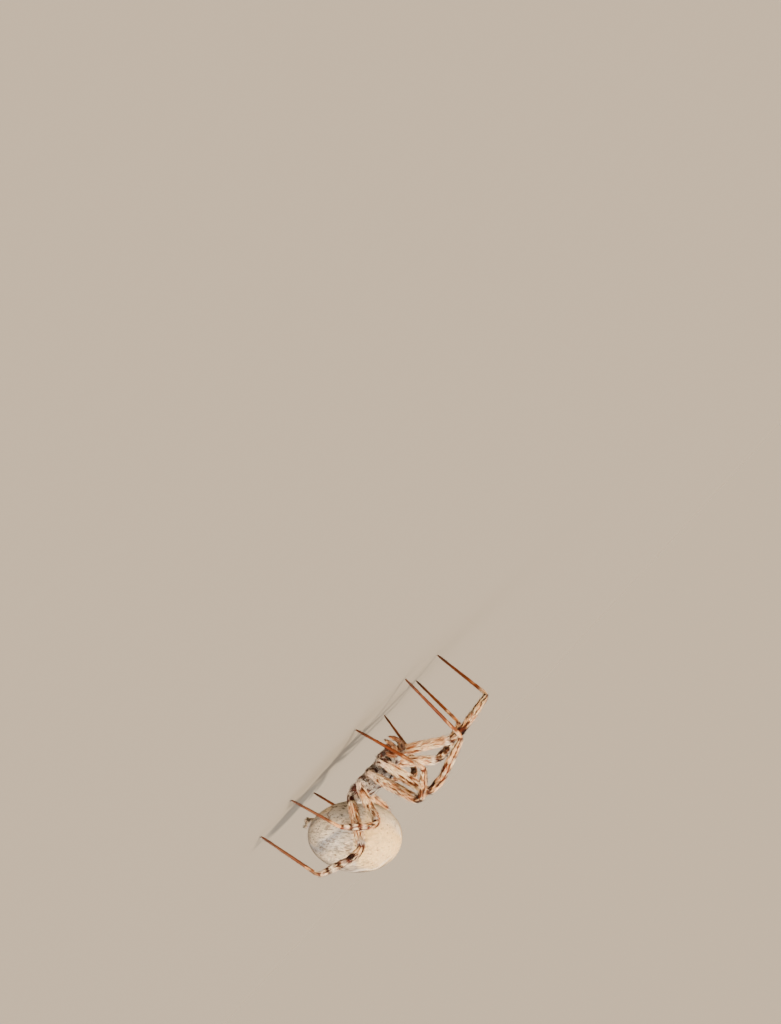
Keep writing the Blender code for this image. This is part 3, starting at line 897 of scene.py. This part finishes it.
def downy_cuticle(name, streak, stretch, contrast, roughness, bump, dash=0.0):
    """Cuticle under flat down: markings broken by streaks that run with the hair.

    A spider's skin is chitin and protein, laid down soft and tanned hard in the air. Under down it
    shows as colour broken into fine streaks, dull, with a little light passing into it. Where a
    dash size is given, dark roots of single hairs show as rows of short dashes.
    """
    made, tree, shader = surface(
        name, roughness, 0.2, Subsurface_Weight=0.06, Subsurface_Scale=LIGHT_DEPTH * MM)
    marking = add(tree, "ShaderNodeAttribute", attribute_name="marking")
    grain = add(tree, "ShaderNodeAttribute", attribute_name="grain")
    along = add(tree, "ShaderNodeVectorMath", {0: grain.outputs["Vector"], 1: (stretch, 1, 1)},
                operation="MULTIPLY")
    streaks = add(tree, "ShaderNodeTexNoise", {
        "Vector": along.outputs[0], "Scale": 1 / streak, "Detail": 4.0, "Roughness": 0.6})
    shade = add(tree, "ShaderNodeMapRange", {
        "Value": streaks.outputs["Fac"], "From Min": 0.3, "From Max": 0.7,
        "To Min": 1 - contrast, "To Max": 1 + contrast * 0.6})
    final = add(tree, "ShaderNodeMix", {
        "Factor": 1.0, 6: marking.outputs["Color"], 7: shade.outputs["Result"]},
        data_type="RGBA", blend_type="MULTIPLY").outputs[2]
    if dash:
        squeezed = add(tree, "ShaderNodeVectorMath", {
            0: grain.outputs["Vector"], 1: (DASH_STRETCH, 1, 1)}, operation="MULTIPLY")
        cells = add(tree, "ShaderNodeTexVoronoi", {
            "Vector": squeezed.outputs[0], "Scale": 1 / dash})
        dot = add(tree, "ShaderNodeMapRange", {
            "Value": cells.outputs["Distance"], "From Min": 0.32, "From Max": 0.16})
        keep = add(tree, "ShaderNodeMapRange", {
            "Value": cells.outputs["Color"], "From Min": 0.35, "From Max": 0.55, "To Max": 0.9})
        both = add(tree, "ShaderNodeMath", {0: dot.outputs["Result"], 1: keep.outputs["Result"]},
                   operation="MULTIPLY")
        final = add(tree, "ShaderNodeMix", {
            "Factor": both.outputs[0], 6: final, 7: linear("5F4534")}, data_type="RGBA").outputs[2]
    tree.links.new(final, shader.inputs["Base Color"])
    relief = add(tree, "ShaderNodeBump", {
        "Height": streaks.outputs["Fac"], "Strength": bump, "Distance": STREAK_RELIEF * MM})
    tree.links.new(relief.outputs["Normal"], shader.inputs["Normal"])
    return made


def hair_finish(name, roughness):
    """Setae, hollow shafts of the same chitin, each in its own tone.

    Shafts that lie side by side at slightly different angles scatter the light, so a coat looks
    soft and matt with hardly any gloss.
    """
    made, tree, shader = surface(name, roughness, 0.12)
    marking = add(tree, "ShaderNodeAttribute", attribute_name="marking")
    tree.links.new(marking.outputs["Color"], shader.inputs["Base Color"])
    return made


def chitin(name, code, roughness, coat):
    """Bare chitin, tanned hard: a clear brown, cloudy inside, under a smooth outermost layer.

    It gives the eye a deep dark tone with small sharp highlights, duller where it is worn.
    """
    made, tree, shader = surface(name, roughness, 0.4, Coat_Weight=coat, Coat_Roughness=0.08)
    place = add(tree, "ShaderNodeTexCoord")
    cloud = add(tree, "ShaderNodeTexNoise", {
        "Vector": place.outputs["Object"], "Scale": 1 / (CUTICLE_CLOUD * MM), "Detail": 3.0})
    tone = add(tree, "ShaderNodeMix", {
        "Factor": cloud.outputs["Fac"], 6: linear(code), 7: linear("120A08")}, data_type="RGBA")
    tree.links.new(tone.outputs[2], shader.inputs["Base Color"])
    return made


def rolled_paint(colour):
    """Matt emulsion rolled on board: even and dull, with a faint mottling left by the roller."""
    made, tree, shader = surface("floor board, rolled matt emulsion paint", 0.9, 0.0)
    place = add(tree, "ShaderNodeTexCoord")
    mottle = add(tree, "ShaderNodeTexNoise", {
        "Vector": place.outputs["Object"], "Scale": 1 / (ROLLER_MOTTLE * MM), "Detail": 3.0})
    tone = add(tree, "ShaderNodeMapRange", {
        "Value": mottle.outputs["Fac"], "To Min": 0.99, "To Max": 1.01})
    final = add(tree, "ShaderNodeMix", {"Factor": 1.0, 6: (*colour, 1), 7: tone.outputs["Result"]},
                data_type="RGBA", blend_type="MULTIPLY")
    tree.links.new(final.outputs[2], shader.inputs["Base Color"])
    return made


# Coat

# Corners of a tuft's patch on the bake map, for a bent hair of seven points and a spike of four,
# and the share of the map that stays free at its edge
PATCH_HALF = 0.0014
SPIKE_PATCH = np.array([[-1, -1], [1, -1], [0, 1], [0, 0]]) * PATCH_HALF
BENT_PATCH = np.concatenate([SPIKE_PATCH[:3], SPIKE_PATCH[:3] * 0.6, SPIKE_PATCH[3:]])
MAP_EDGE = 0.02

# Row of the bake map, below the abdomen's own, that the hair of the spinnerets is on
TAIL_ROW = -0.01

# How deep a root sits, how many millimetres along a limb its hair starts, the share of the limb
# where it ends, and the radius of limb at which a hair has its full size
ROOT_DEPTH = 0.02
HAIR_START = 0.7
HAIR_END = 0.985
FULL_HAIR_RADIUS = 0.3

# Each kind of hair: its length in millimetres and its lift off the skin in radians, both from the
# least to the most, and its thickness as a share of a leg hair's
LEG_HAIR = ((0.26, 0.48), (0.08, 0.34), 1.0)
BRISTLES = ((0.35, 0.62), (0.5, 1.0), 0.5)
DOWN = ((0.14, 0.3), (0.06, 0.3), 0.55)
FRONT_HAIR = ((0.14, 0.3), (0.08, 0.45), 0.7)
TAIL_HAIR = ((0.08, 0.15), (0.1, 0.4), 0.5)

# Bristles for each leg hair, and hairs on each spinneret
BRISTLE_SHARE = 0.08
SPINNERET_HAIRS = 60


def tufts(roots, normals, lies, kind, width, rng, size=1.0, spikes=False, stray=0.26):
    """Tapered three-sided hairs that leave the skin at an angle and lie over along it."""
    count = len(roots)
    length_range, lift_range, share = kind
    lengths = rng.uniform(*length_range, count) * size
    lifts = rng.uniform(*lift_range, count)
    across = np.cross(normals, lies)
    sway = rng.normal(0, stray, count)[:, None]
    lies = lies * np.cos(sway) + across * np.sin(sway)
    across = np.cross(normals, lies)
    widths = width * share * size * rng.uniform(0.7, 1.2, count)
    out, flat = np.sin(lifts)[:, None], np.cos(lifts)[:, None]
    middle = roots + (lies * flat + normals * out) * (lengths * 0.5)[:, None]
    bent = lies * (flat + 0.25) + normals * (out * 0.45)
    tips = middle + unit(bent) * (lengths * 0.5)[:, None]
    roots = roots - normals * ROOT_DEPTH
    rings = [roots] if spikes else [roots, middle]
    points = 3 * len(rings) + 1
    verts = np.empty((count, points, 3))
    for i in range(3):
        turn = 2 * pi * i / 3
        offset = (across * cos(turn) + normals * sin(turn) * 0.5) * widths[:, None] / 2
        for k, ring in enumerate(rings):
            verts[:, 3 * k + i] = ring + offset * (1 - 0.25 * k)
    verts[:, -1] = tips
    faces = [(0, 2, 1)]
    top = 3 * len(rings) - 3
    for i in range(3):
        j = (i + 1) % 3
        if not spikes:
            faces += [(i, j, 3 + j), (i, 3 + j, 3 + i)]
        faces.append((top + i, top + j, points - 1))
    faces = np.array(faces)[None] + (np.arange(count) * points)[:, None, None]
    return verts.reshape(-1, 3), faces.reshape(-1, 3)


def on_map(across, along):
    """Places on the bake map from two shares of it, kept off its edge."""
    return np.stack([MAP_EDGE + (1 - 2 * MAP_EDGE) * share for share in (across, along)], axis=1)


def triangle_mesh(name, verts, faces):
    """A mesh in metres from arrays of points in millimetres and triangles."""
    made = bpy.data.meshes.new(name)
    made.vertices.add(len(verts))
    made.vertices.foreach_set("co", (verts * MM).astype(np.float32).ravel())
    made.loops.add(len(faces) * 3)
    made.loops.foreach_set("vertex_index", faces.astype(np.int32).ravel())
    made.polygons.add(len(faces))
    made.polygons.foreach_set("loop_start", np.arange(0, len(faces) * 3, 3, dtype=np.int32))
    made.update(calc_edges=True)
    made.validate()
    return made


def coat_object(name, parts, finish):
    """One coat piece from parts of (points, faces, colour per tuft, bake place per tuft)."""
    verts = np.concatenate([part[0] for part in parts])
    shift = np.cumsum([0] + [len(part[0]) for part in parts[:-1]])
    faces = np.concatenate([part[1] + start for part, start in zip(parts, shift)])
    colours, uvs = [], []
    for points, _, colour, spots in parts:
        patch = BENT_PATCH if len(points) == len(spots) * len(BENT_PATCH) else SPIKE_PATCH
        colours.append(np.repeat(colour, len(patch), axis=0))
        uvs.append((spots[:, None] + patch[None]).reshape(-1, 2))
    made = triangle_mesh(name, verts, faces)
    give_attributes(made, np.concatenate(colours))
    layer = made.uv_layers.new(name="OFBake")
    layer.data.foreach_set("uv", np.concatenate(uvs)[faces.ravel()].astype(np.float32).ravel())
    placed(name, made, [finish])


def limb_hair(limb, density, kind, width, rng, strip, strips, tone):
    """Hair over one limb, from just past its coxa to its tip, finer where the limb is thin."""
    count = int(2 * pi * limb.radii.mean() * limb.run[-1] * density)
    run = rng.uniform(HAIR_START, limb.run[-1] * HAIR_END, count)
    keep = rng.uniform(0, limb.radii.max(), count) < np.interp(run, limb.run, limb.radii) * 1.2
    run = run[keep]
    count = len(run)
    turn = rng.uniform(0, 2 * pi, count)
    roots, normals, headings, near = limb.on_surface(run, turn)
    radius = np.interp(run, limb.run, limb.radii)
    size = np.clip(radius / FULL_HAIR_RADIUS, 0.4, 1.1)
    verts, faces = tufts(roots, normals, headings, kind, width, rng, size, stray=0.17)
    grain = np.stack([run, np.cos(turn) * radius, np.sin(turn) * radius], axis=1)
    grain[:, 1] += limb.offset
    colours = leg_colour(limb.number, limb.segments[near], limb.shares[near], grain, turn)
    across = (strip + 0.05 + 0.9 * turn / (2 * pi)) / strips
    return verts, faces, tone(colours, rng), on_map(across, run / limb.run[-1])


def stub_hair(start, end, first, last, width, rng):
    """Short hair over a tapered stub, lying towards its tip."""
    count = SPINNERET_HAIRS
    aim = np.array((end - start).normalized())
    side = np.array(Vector(aim).orthogonal().normalized())
    other = np.cross(aim, side)
    share, turn = rng.uniform(0.3, 1.0, count), rng.uniform(0, 2 * pi, count)
    normals = side * np.cos(turn)[:, None] + other * np.sin(turn)[:, None]
    roots = np.array(start) + aim * (share * (end - start).length)[:, None]
    roots = roots + normals * (first + (last - first) * share)[:, None]
    lies = np.tile(aim, (count, 1))
    verts, faces = tufts(roots, normals, lies, TAIL_HAIR, width, rng)
    dark = (rng.uniform(0, 1, count) < 0.55) * 0.9
    colours = laid_over(SPINNERET_TAN, NEAR_BLACK, dark)
    return verts, faces, colours, on_map(turn / (2 * pi), np.full(count, TAIL_ROW))


def scattered(triangles, density, rng):
    """Random places on triangles, so many to a square millimetre, and the normals there."""
    cross = np.cross(triangles[:, 1] - triangles[:, 0], triangles[:, 2] - triangles[:, 0])
    area = np.linalg.norm(cross, axis=1) / 2
    count = int(area.sum() * density)
    pick = rng.choice(len(triangles), count, p=area / area.sum())
    first, second = rng.uniform(0, 1, (2, count))
    over = first + second > 1
    first, second = np.where(over, 1 - first, first), np.where(over, 1 - second, second)
    chosen = triangles[pick]
    place = chosen[:, 0] + (chosen[:, 1] - chosen[:, 0]) * first[:, None]
    place += (chosen[:, 2] - chosen[:, 0]) * second[:, None]
    return place, cross[pick] / (2 * area[pick])[:, None]


def light_tips(colours, rng):
    """Hair a little paler than the skin it grows from."""
    lift = rng.uniform(0.0, 0.45, len(colours)) * smoothstep(0.05, 0.3, colours.mean(axis=1))
    return np.clip(laid_over(colours, PALE, lift), 0, 1)


def bristle_tone(colours, rng):
    """Bristles from straw to near black."""
    pick = rng.uniform(0, 1, len(colours))
    return laid_over(laid_over(colours, ORANGE, pick), NEAR_BLACK, smoothstep(0.5, 0.9, pick))


class SkinSettings(bpy.types.PropertyGroup):
    voxel: bpy.props.FloatProperty(
        name="Fineness", description="Side of the cells the skin is joined from, in millimetres",
        default=0.05, min=0.02)
    smoothing: bpy.props.IntProperty(
        name="Smoothing", description="Times the joined skin is smoothed", default=3, min=0)
    leg_streak: bpy.props.FloatProperty(
        name="Leg streak", description="Width of a streak on a leg, in millimetres",
        default=0.167, min=0.01)
    abdomen_dash: bpy.props.FloatProperty(
        name="Dash", description="Distance between dark dashes on the abdomen, in millimetres",
        default=0.22, min=0.01)
    eye_radius: bpy.props.FloatProperty(
        name="Eye radius", description="Radius of each lens, in millimetres",
        default=0.105, min=0.01)


class CoatSettings(bpy.types.PropertyGroup):
    leg_density: bpy.props.FloatProperty(
        name="Leg hair", description="Hairs to a square millimetre of leg", default=200.0, min=0.0)
    front_density: bpy.props.FloatProperty(
        name="Front hair", description="Hairs to a square millimetre of the front body",
        default=330.0, min=0.0)
    abdomen_density: bpy.props.FloatProperty(
        name="Abdomen hair", description="Hairs to a square millimetre of the abdomen",
        default=330.0, min=0.0)
    hair_width: bpy.props.FloatProperty(
        name="Hair width", description="Thickness of a leg hair at its root, in millimetres",
        default=0.042, min=0.005)
    seed: bpy.props.IntProperty(
        name="Seed", description="Start of the random draws that scatter the hair", default=5)


class StageSettings(bpy.types.PropertyGroup):
    azimuth: bpy.props.FloatProperty(
        name="Azimuth", description="Camera direction round the spider, from straight ahead of her",
        default=radians(68), subtype="ANGLE", unit="ROTATION")
    elevation: bpy.props.FloatProperty(
        name="Elevation", description="Camera height as an angle, kept above the floor",
        default=radians(2), subtype="ANGLE", unit="ROTATION")
    distance: bpy.props.FloatProperty(
        name="Distance", description="Camera to pedicel",
        default=0.15, subtype="DISTANCE", unit="LENGTH")
    floor_colour: bpy.props.FloatVectorProperty(
        name="Floor", description="Plain pale floor",
        default=linear("887F72")[:3], size=3, subtype="COLOR")


class SPIDER_OT_skin(bpy.types.Operator):
    """Builds the one skin that stands for every fleshy solid, with its markings."""
    bl_idname = "spider.skin"
    bl_label = "Skin"

    def execute(self, context):
        settings = context.scene.spider_skin
        limbs = build_limbs()
        points, faces = joined(skin_pieces(limbs))
        made = remeshed(points, faces, "skin", settings.voxel, settings.smoothing)
        spots = read(made.vertices, "co", 3).astype(float)
        spots[:, 2] = np.maximum(spots[:, 2], FLOOR_CLEARANCE)
        colour, grain, region = skin_markings(spots, limbs)
        give_attributes(made, skin_tone(colour, region), grain)
        made.vertices.foreach_set("co", (spots * MM).astype(np.float32).ravel())

        # Soft stretched skin on the abdomen, which is the dullest; hard plates on the front body
        # and hard tubes on the legs, each with a little more gloss between the hairs
        finishes = [
            downy_cuticle("abdomen cuticle under cream down", ABDOMEN_STREAK, stretch=0.3,
                          contrast=0.16, roughness=0.78, bump=0.6, dash=settings.abdomen_dash),
            downy_cuticle("front body cuticle under silver hair", FRONT_STREAK, stretch=0.35,
                          contrast=0.3, roughness=0.62, bump=0.8),
            downy_cuticle("leg cuticle under straw hair", settings.leg_streak, stretch=0.16,
                          contrast=0.3, roughness=0.5, bump=0.8),
        ]
        corner = read(made.loops, "vertex_index", 1, np.int32)[:, 0]
        starts = read(made.polygons, "loop_start", 1, np.int32)[:, 0]
        made.polygons.foreach_set("material_index", region[corner[starts]].astype(np.int32))
        made.update()
        nodes = [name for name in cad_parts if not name.startswith("eye_")]
        placed("skin", made, finishes, nodes)
        return {"FINISHED"}


class SPIDER_OT_eyes(bpy.types.Operator):
    """Sets six dark lenses in three pairs on the front of the carapace."""
    bl_idname = "spider.eyes"
    bl_label = "Eyes"

    def execute(self, context):
        radius = context.scene.spider_skin.eye_radius

        # A clear lens over a dark retina looks black, with one sharp highlight
        finish = chitin("eye lens, clear chitin over a dark retina", "0B0908", 0.08, 0.4)
        for name in [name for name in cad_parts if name.startswith("eye_")]:
            low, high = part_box(name)
            middle = (Vector(low) + Vector(high)) / 2 / MM
            work = bmesh.new()
            bmesh.ops.create_uvsphere(
                work, u_segments=EYE_SEGMENTS, v_segments=EYE_RINGS, radius=radius * MM)
            lowered = (middle - Vector((0, 0, EYE_SINK))) * MM
            bmesh.ops.translate(work, vec=lowered, verts=work.verts)
            made = bpy.data.meshes.new(name + "_lens")
            work.to_mesh(made)
            work.free()
            placed(name + "_lens", made, [finish], [name])
        return {"FINISHED"}


class SPIDER_OT_fangs(bpy.types.Operator):
    """Curved fangs below the chelicerae."""
    bl_idname = "spider.fangs"
    bl_label = "Fangs"

    def execute(self, context):
        pieces = []
        for sign in (-1, 1):
            points = [at(f, sign * out, up) for f, out, up in FANG_PLACES]
            fang = Limb("fang", 0, points, FANG_PROFILES, 1.0, FANG_BEND)
            pieces.append(closed_loft(fang.rings(FANG_SIDES)))

        # Tanned hard and worn smooth by biting: a deep red-brown with a broad soft gloss
        finish = chitin("fang chitin, tanned hard and worn smooth", "3A140B", 0.3, 0.1)
        placed("fangs", mesh_of("fangs", *joined(pieces)), [finish])
        return {"FINISHED"}


class SPIDER_OT_claws(bpy.types.Operator):
    """Two small hooked claws at the end of each leg."""
    bl_idname = "spider.claws"
    bl_label = "Claws"

    def execute(self, context):
        pieces = []
        for limb in build_limbs():
            if not limb.number:
                continue
            tip = Vector(limb.places[-1])
            heading = Vector(limb.headings[-1])
            level = Vector((heading.x, heading.y, 0))
            level = level.normalized() if level.length > 0.05 else Vector((0, -1, 0))
            side = level.cross(Vector((0, 0, 1)))
            for sign in (-1, 1):
                points = [tip + level * ahead + side * sign * aside + Vector((0, 0, up))
                          for ahead, aside, up in CLAW_PLACES]
                claw = Limb("claw", 0, points, CLAW_PROFILES, 1.0, CLAW_BEND)
                pieces.append(closed_loft(claw.rings(CLAW_SIDES)))

        # The hardest and most tanned part, near black with small highlights
        finish = chitin("claw chitin, tanned near black", "1E0F0A", 0.25, 0.3)
        placed("claws", mesh_of("claws", *joined(pieces)), [finish])
        return {"FINISHED"}


class SPIDER_OT_leg_coat(bpy.types.Operator):
    """Straw hair along the legs and palps, with longer dark bristles standing out of it."""
    bl_idname = "spider.leg_coat"
    bl_label = "Leg coat"

    def execute(self, context):
        settings = context.scene.spider_coat

        # Stiffer than the down, so the coat keeps a faint sheen along the leg
        finish = hair_finish("leg setae, straw to rust", 0.5)
        for side in ("left", "right"):
            rng = np.random.default_rng(settings.seed + (side == "right"))
            limbs = [limb for limb in build_limbs() if side in limb.name]
            parts = []
            for strip, limb in enumerate(limbs):
                kinds = ((LEG_HAIR, 1, light_tips), (BRISTLES, BRISTLE_SHARE, bristle_tone))
                for kind, share, tone in kinds:
                    parts.append(limb_hair(limb, settings.leg_density * share, kind,
                                           settings.hair_width, rng, strip, len(limbs), tone))
            coat_object(f"coat_legs_{side}", parts, finish)
        return {"FINISHED"}


class SPIDER_OT_abdomen_coat(bpy.types.Operator):
    """Short cream down over the abdomen, lying towards the spinnerets."""
    bl_idname = "spider.abdomen_coat"
    bl_label = "Abdomen coat"

    def execute(self, context):
        settings = context.scene.spider_coat
        rng = np.random.default_rng(settings.seed + 10)
        length, width, height = ABDOMEN_HALF_SIZES
        count = int(4 * pi * length * (width + height) / 2 * settings.abdomen_density)
        along = rng.uniform(-1, 1, count)
        turn = rng.uniform(0, 2 * pi, count)
        place, normal, lie = abdomen_surface(along, turn)
        verts, faces = tufts(place, normal, lie, DOWN, settings.hair_width, rng, spikes=True)
        centre, _, left, up = (np.array(v) for v in abdomen_axes())
        local = place - centre
        grain = np.stack([np.arcsin(along) * length, local @ left, local @ up], axis=1)
        colours = light_tips(abdomen_colour(along, turn, grain), rng)
        brown = (rng.uniform(0, 1, count) < 0.1) * smoothstep(0.6, 0.2, along) * 0.7
        colours = laid_over(colours, BROWN_GREY * 0.6, brown)
        parts = [(verts, faces, colours, on_map(turn / (2 * pi), (along + 1) / 2))]
        for stub in spinneret_stubs():
            parts.append(stub_hair(*stub, settings.hair_width, rng))

        # Fine flat down that scatters light evenly, so the egg looks like felt
        finish = hair_finish("abdomen setae, cream and close", 0.6)
        coat_object("coat_abdomen", parts, finish)
        return {"FINISHED"}


class SPIDER_OT_front_coat(bpy.types.Operator):
    """Silver hair over the carapace, sternum and coxae, lying forwards."""
    bl_idname = "spider.front_coat"
    bl_label = "Front coat"

    def execute(self, context):
        settings = context.scene.spider_coat
        rng = np.random.default_rng(settings.seed + 20)
        skin = bpy.data.objects["skin"].data
        skin.calc_loop_triangles()
        corners = read(skin.loop_triangles, "vertices", 3, np.int32)
        triangles = (read(skin.vertices, "co", 3) / MM)[corners]
        owner = read(skin.loop_triangles, "material_index", 1, np.int32)[:, 0]
        place, normal = scattered(triangles[owner == 1], settings.front_density, rng)
        outward = np.clip((place[:, 0] - MIDLINE) / 1.2, -1, 1)
        flow = np.stack([outward, np.full(len(place), -0.8), np.full(len(place), -0.15)], axis=1)

        # Round the hips the skin bends sharply, so hair is set on the skin itself there too
        limbs = build_limbs()
        tree, owners = limb_tree(limbs)
        middles = triangles.mean(axis=1)
        hips = np.zeros(len(triangles), bool)
        for limb in limbs:
            centre = limb.places[np.searchsorted(limb.run, HIP_RUN)]
            hips |= np.linalg.norm(middles - centre, axis=1) < HIP_REACH
        around = triangles[hips & (owner == 2)]
        extra, extra_normal = scattered(around, settings.front_density, rng)
        nearest = owners[[tree.find(p)[1] for p in extra]]
        heading = np.array([limbs[which].headings[k] for which, k in nearest])
        colours = np.concatenate([front_colour(place), skin_markings(extra, limbs)[0]])
        place, normal = np.concatenate([place, extra]), np.concatenate([normal, extra_normal])
        flow = np.concatenate([flow, heading])
        lie = unit(flow - normal * (flow * normal).sum(1)[:, None])
        verts, faces = tufts(place, normal, lie, FRONT_HAIR, settings.hair_width, rng)
        colours = light_tips(colours, rng)

        # The unwrap of the front body: angle round its long axis, and distance along it
        turn = np.arctan2(place[:, 2] - PEDICEL_HEIGHT - 0.2, place[:, 0] - MIDLINE)
        forward = PEDICEL_Y - place[:, 1]
        share = (forward - forward.min()) / (forward.max() - forward.min())
        parts = [(verts, faces, colours, on_map((turn + pi) / (2 * pi), share))]

        # White hair with air in its shafts, which gives the silver look over dark plates
        finish = hair_finish("front body setae, silver", 0.55)
        coat_object("coat_front", parts, finish)
        return {"FINISHED"}


class SPIDER_OT_stage(bpy.types.Operator):
    """Pale floor, soft lights and the camera."""
    bl_idname = "spider.stage"
    bl_label = "Stage"

    def sky(self, settings):
        """A studio dome whose rim is as bright as the floor, so that the floor has no edge."""
        lit = np.full(3, SKY_STRENGTH * (1 - RIM_SHARE))
        for _, _, elevation, strength, _, code in SUNS:
            lit += tint(code) * strength * sin(radians(elevation)) / pi
        floor = np.array(settings.floor_colour)
        rim = tuple(floor * lit / (1 - RIM_SHARE * floor))
        world = bpy.data.worlds.new("studio")
        world.use_nodes = True
        tree = world.node_tree
        heading = add(tree, "ShaderNodeTexCoord")
        height = add(tree, "ShaderNodeSeparateXYZ", {0: heading.outputs["Generated"]})
        climb = add(tree, "ShaderNodeMapRange", {
            "Value": height.outputs["Z"], "From Min": 0.3, "From Max": 0.7})
        top = (SKY_STRENGTH, SKY_STRENGTH, SKY_STRENGTH, 1)
        tone = add(tree, "ShaderNodeMix", {"Factor": climb.outputs["Result"], 6: (*rim, 1), 7: top},
                   data_type="RGBA")
        background = tree.nodes["Background"]
        tree.links.new(tone.outputs[2], background.inputs["Color"])
        return world

    def execute(self, context):
        settings = context.scene.spider_stage
        half = FLOOR_HALF
        made = bpy.data.meshes.new("floor")
        corners = [(-half, -half, 0), (half, -half, 0), (half, half, 0), (-half, half, 0)]
        made.from_pydata(corners, [], [(0, 1, 2, 3)])
        made.materials.append(rolled_paint(settings.floor_colour))
        floor = bpy.data.objects.new("floor", made)
        context.scene.collection.objects.link(floor)

        context.scene.world = self.sky(settings)
        middle = at(-0.5, 0, 0.5) * MM
        for name, azimuth, elevation, strength, spread, code in SUNS:
            lamp = bpy.data.lights.new(name, "SUN")
            lamp.energy = strength
            lamp.angle = radians(spread)
            lamp.color = tint(code)
            obj = bpy.data.objects.new(name, lamp)
            toward = heading_to(radians(azimuth), radians(elevation))
            obj.location = middle + toward * LAMP_DISTANCE
            obj.rotation_mode = "QUATERNION"
            obj.rotation_quaternion = toward.to_track_quat("Z", "Y")
            context.scene.collection.objects.link(obj)

        target = at(0, 0, 0) * MM
        toward = heading_to(settings.azimuth, settings.elevation)
        distance = settings.distance
        pixels = PIXELS_PER_MM * distance / MM
        lens = bpy.data.cameras.new("camera")
        lens.lens = pixels / max(PHOTO_SIZE) * lens.sensor_width
        lens.clip_start = 0.005
        lens.clip_end = 20
        camera = bpy.data.objects.new("camera", lens)
        forward = Vector((0, -1, 0))
        flat = (forward - toward * forward.dot(toward)).normalized()
        turn = Quaternion(toward, -radians(BODY_ANGLE))
        right = turn @ flat
        upward = toward.cross(right)
        aimed = Matrix((right, upward, toward)).transposed()
        across = PEDICEL_PIXEL[0] - PHOTO_SIZE[0] / 2
        down = PEDICEL_PIXEL[1] - PHOTO_SIZE[1] / 2
        seen = Vector((across, -down, -pixels)).normalized()
        swing = Vector((0, 0, -1)).rotation_difference(seen).to_matrix()
        turned = (aimed @ swing.transposed()).to_4x4()
        camera.matrix_world = Matrix.Translation(target + toward * distance) @ turned
        context.scene.collection.objects.link(camera)
        context.scene.camera = camera
        return {"FINISHED"}


class SPIDER_PT_panel(bpy.types.Panel):
    """Lists the spider's pieces and their settings."""
    bl_idname = "SPIDER_PT_panel"
    bl_label = "Coneweb spider"
    bl_space_type = "VIEW_3D"
    bl_region_type = "UI"
    bl_category = "Spider"

    def draw(self, context):
        for name in GROUPS:
            group = getattr(context.scene, name)
            box = self.layout.box()
            for key in group.__annotations__:
                box.prop(group, key)
        for operator in PIECES:
            self.layout.operator(operator.bl_idname)


PIECES = (SPIDER_OT_skin, SPIDER_OT_eyes, SPIDER_OT_fangs, SPIDER_OT_claws, SPIDER_OT_leg_coat,
          SPIDER_OT_abdomen_coat, SPIDER_OT_front_coat, SPIDER_OT_stage)
GROUPS = {"spider_skin": SkinSettings, "spider_coat": CoatSettings, "spider_stage": StageSettings}


def register():
    for group in GROUPS.values():
        bpy.utils.register_class(group)
    for operator in PIECES:
        bpy.utils.register_class(operator)
    bpy.utils.register_class(SPIDER_PT_panel)
    for name, group in GROUPS.items():
        setattr(bpy.types.Scene, name, bpy.props.PointerProperty(type=group))


def unregister():
    for name in GROUPS:
        delattr(bpy.types.Scene, name)
    bpy.utils.unregister_class(SPIDER_PT_panel)
    for operator in reversed(PIECES):
        bpy.utils.unregister_class(operator)
    for group in reversed(GROUPS.values()):
        bpy.utils.unregister_class(group)


def main():
    register()
    bpy.ops.spider.skin()
    bpy.ops.spider.eyes()
    bpy.ops.spider.fangs()
    bpy.ops.spider.claws()
    bpy.ops.spider.leg_coat()
    bpy.ops.spider.abdomen_coat()
    bpy.ops.spider.front_coat()
    bpy.ops.spider.stage()


if __name__ == "__main__":
    main()
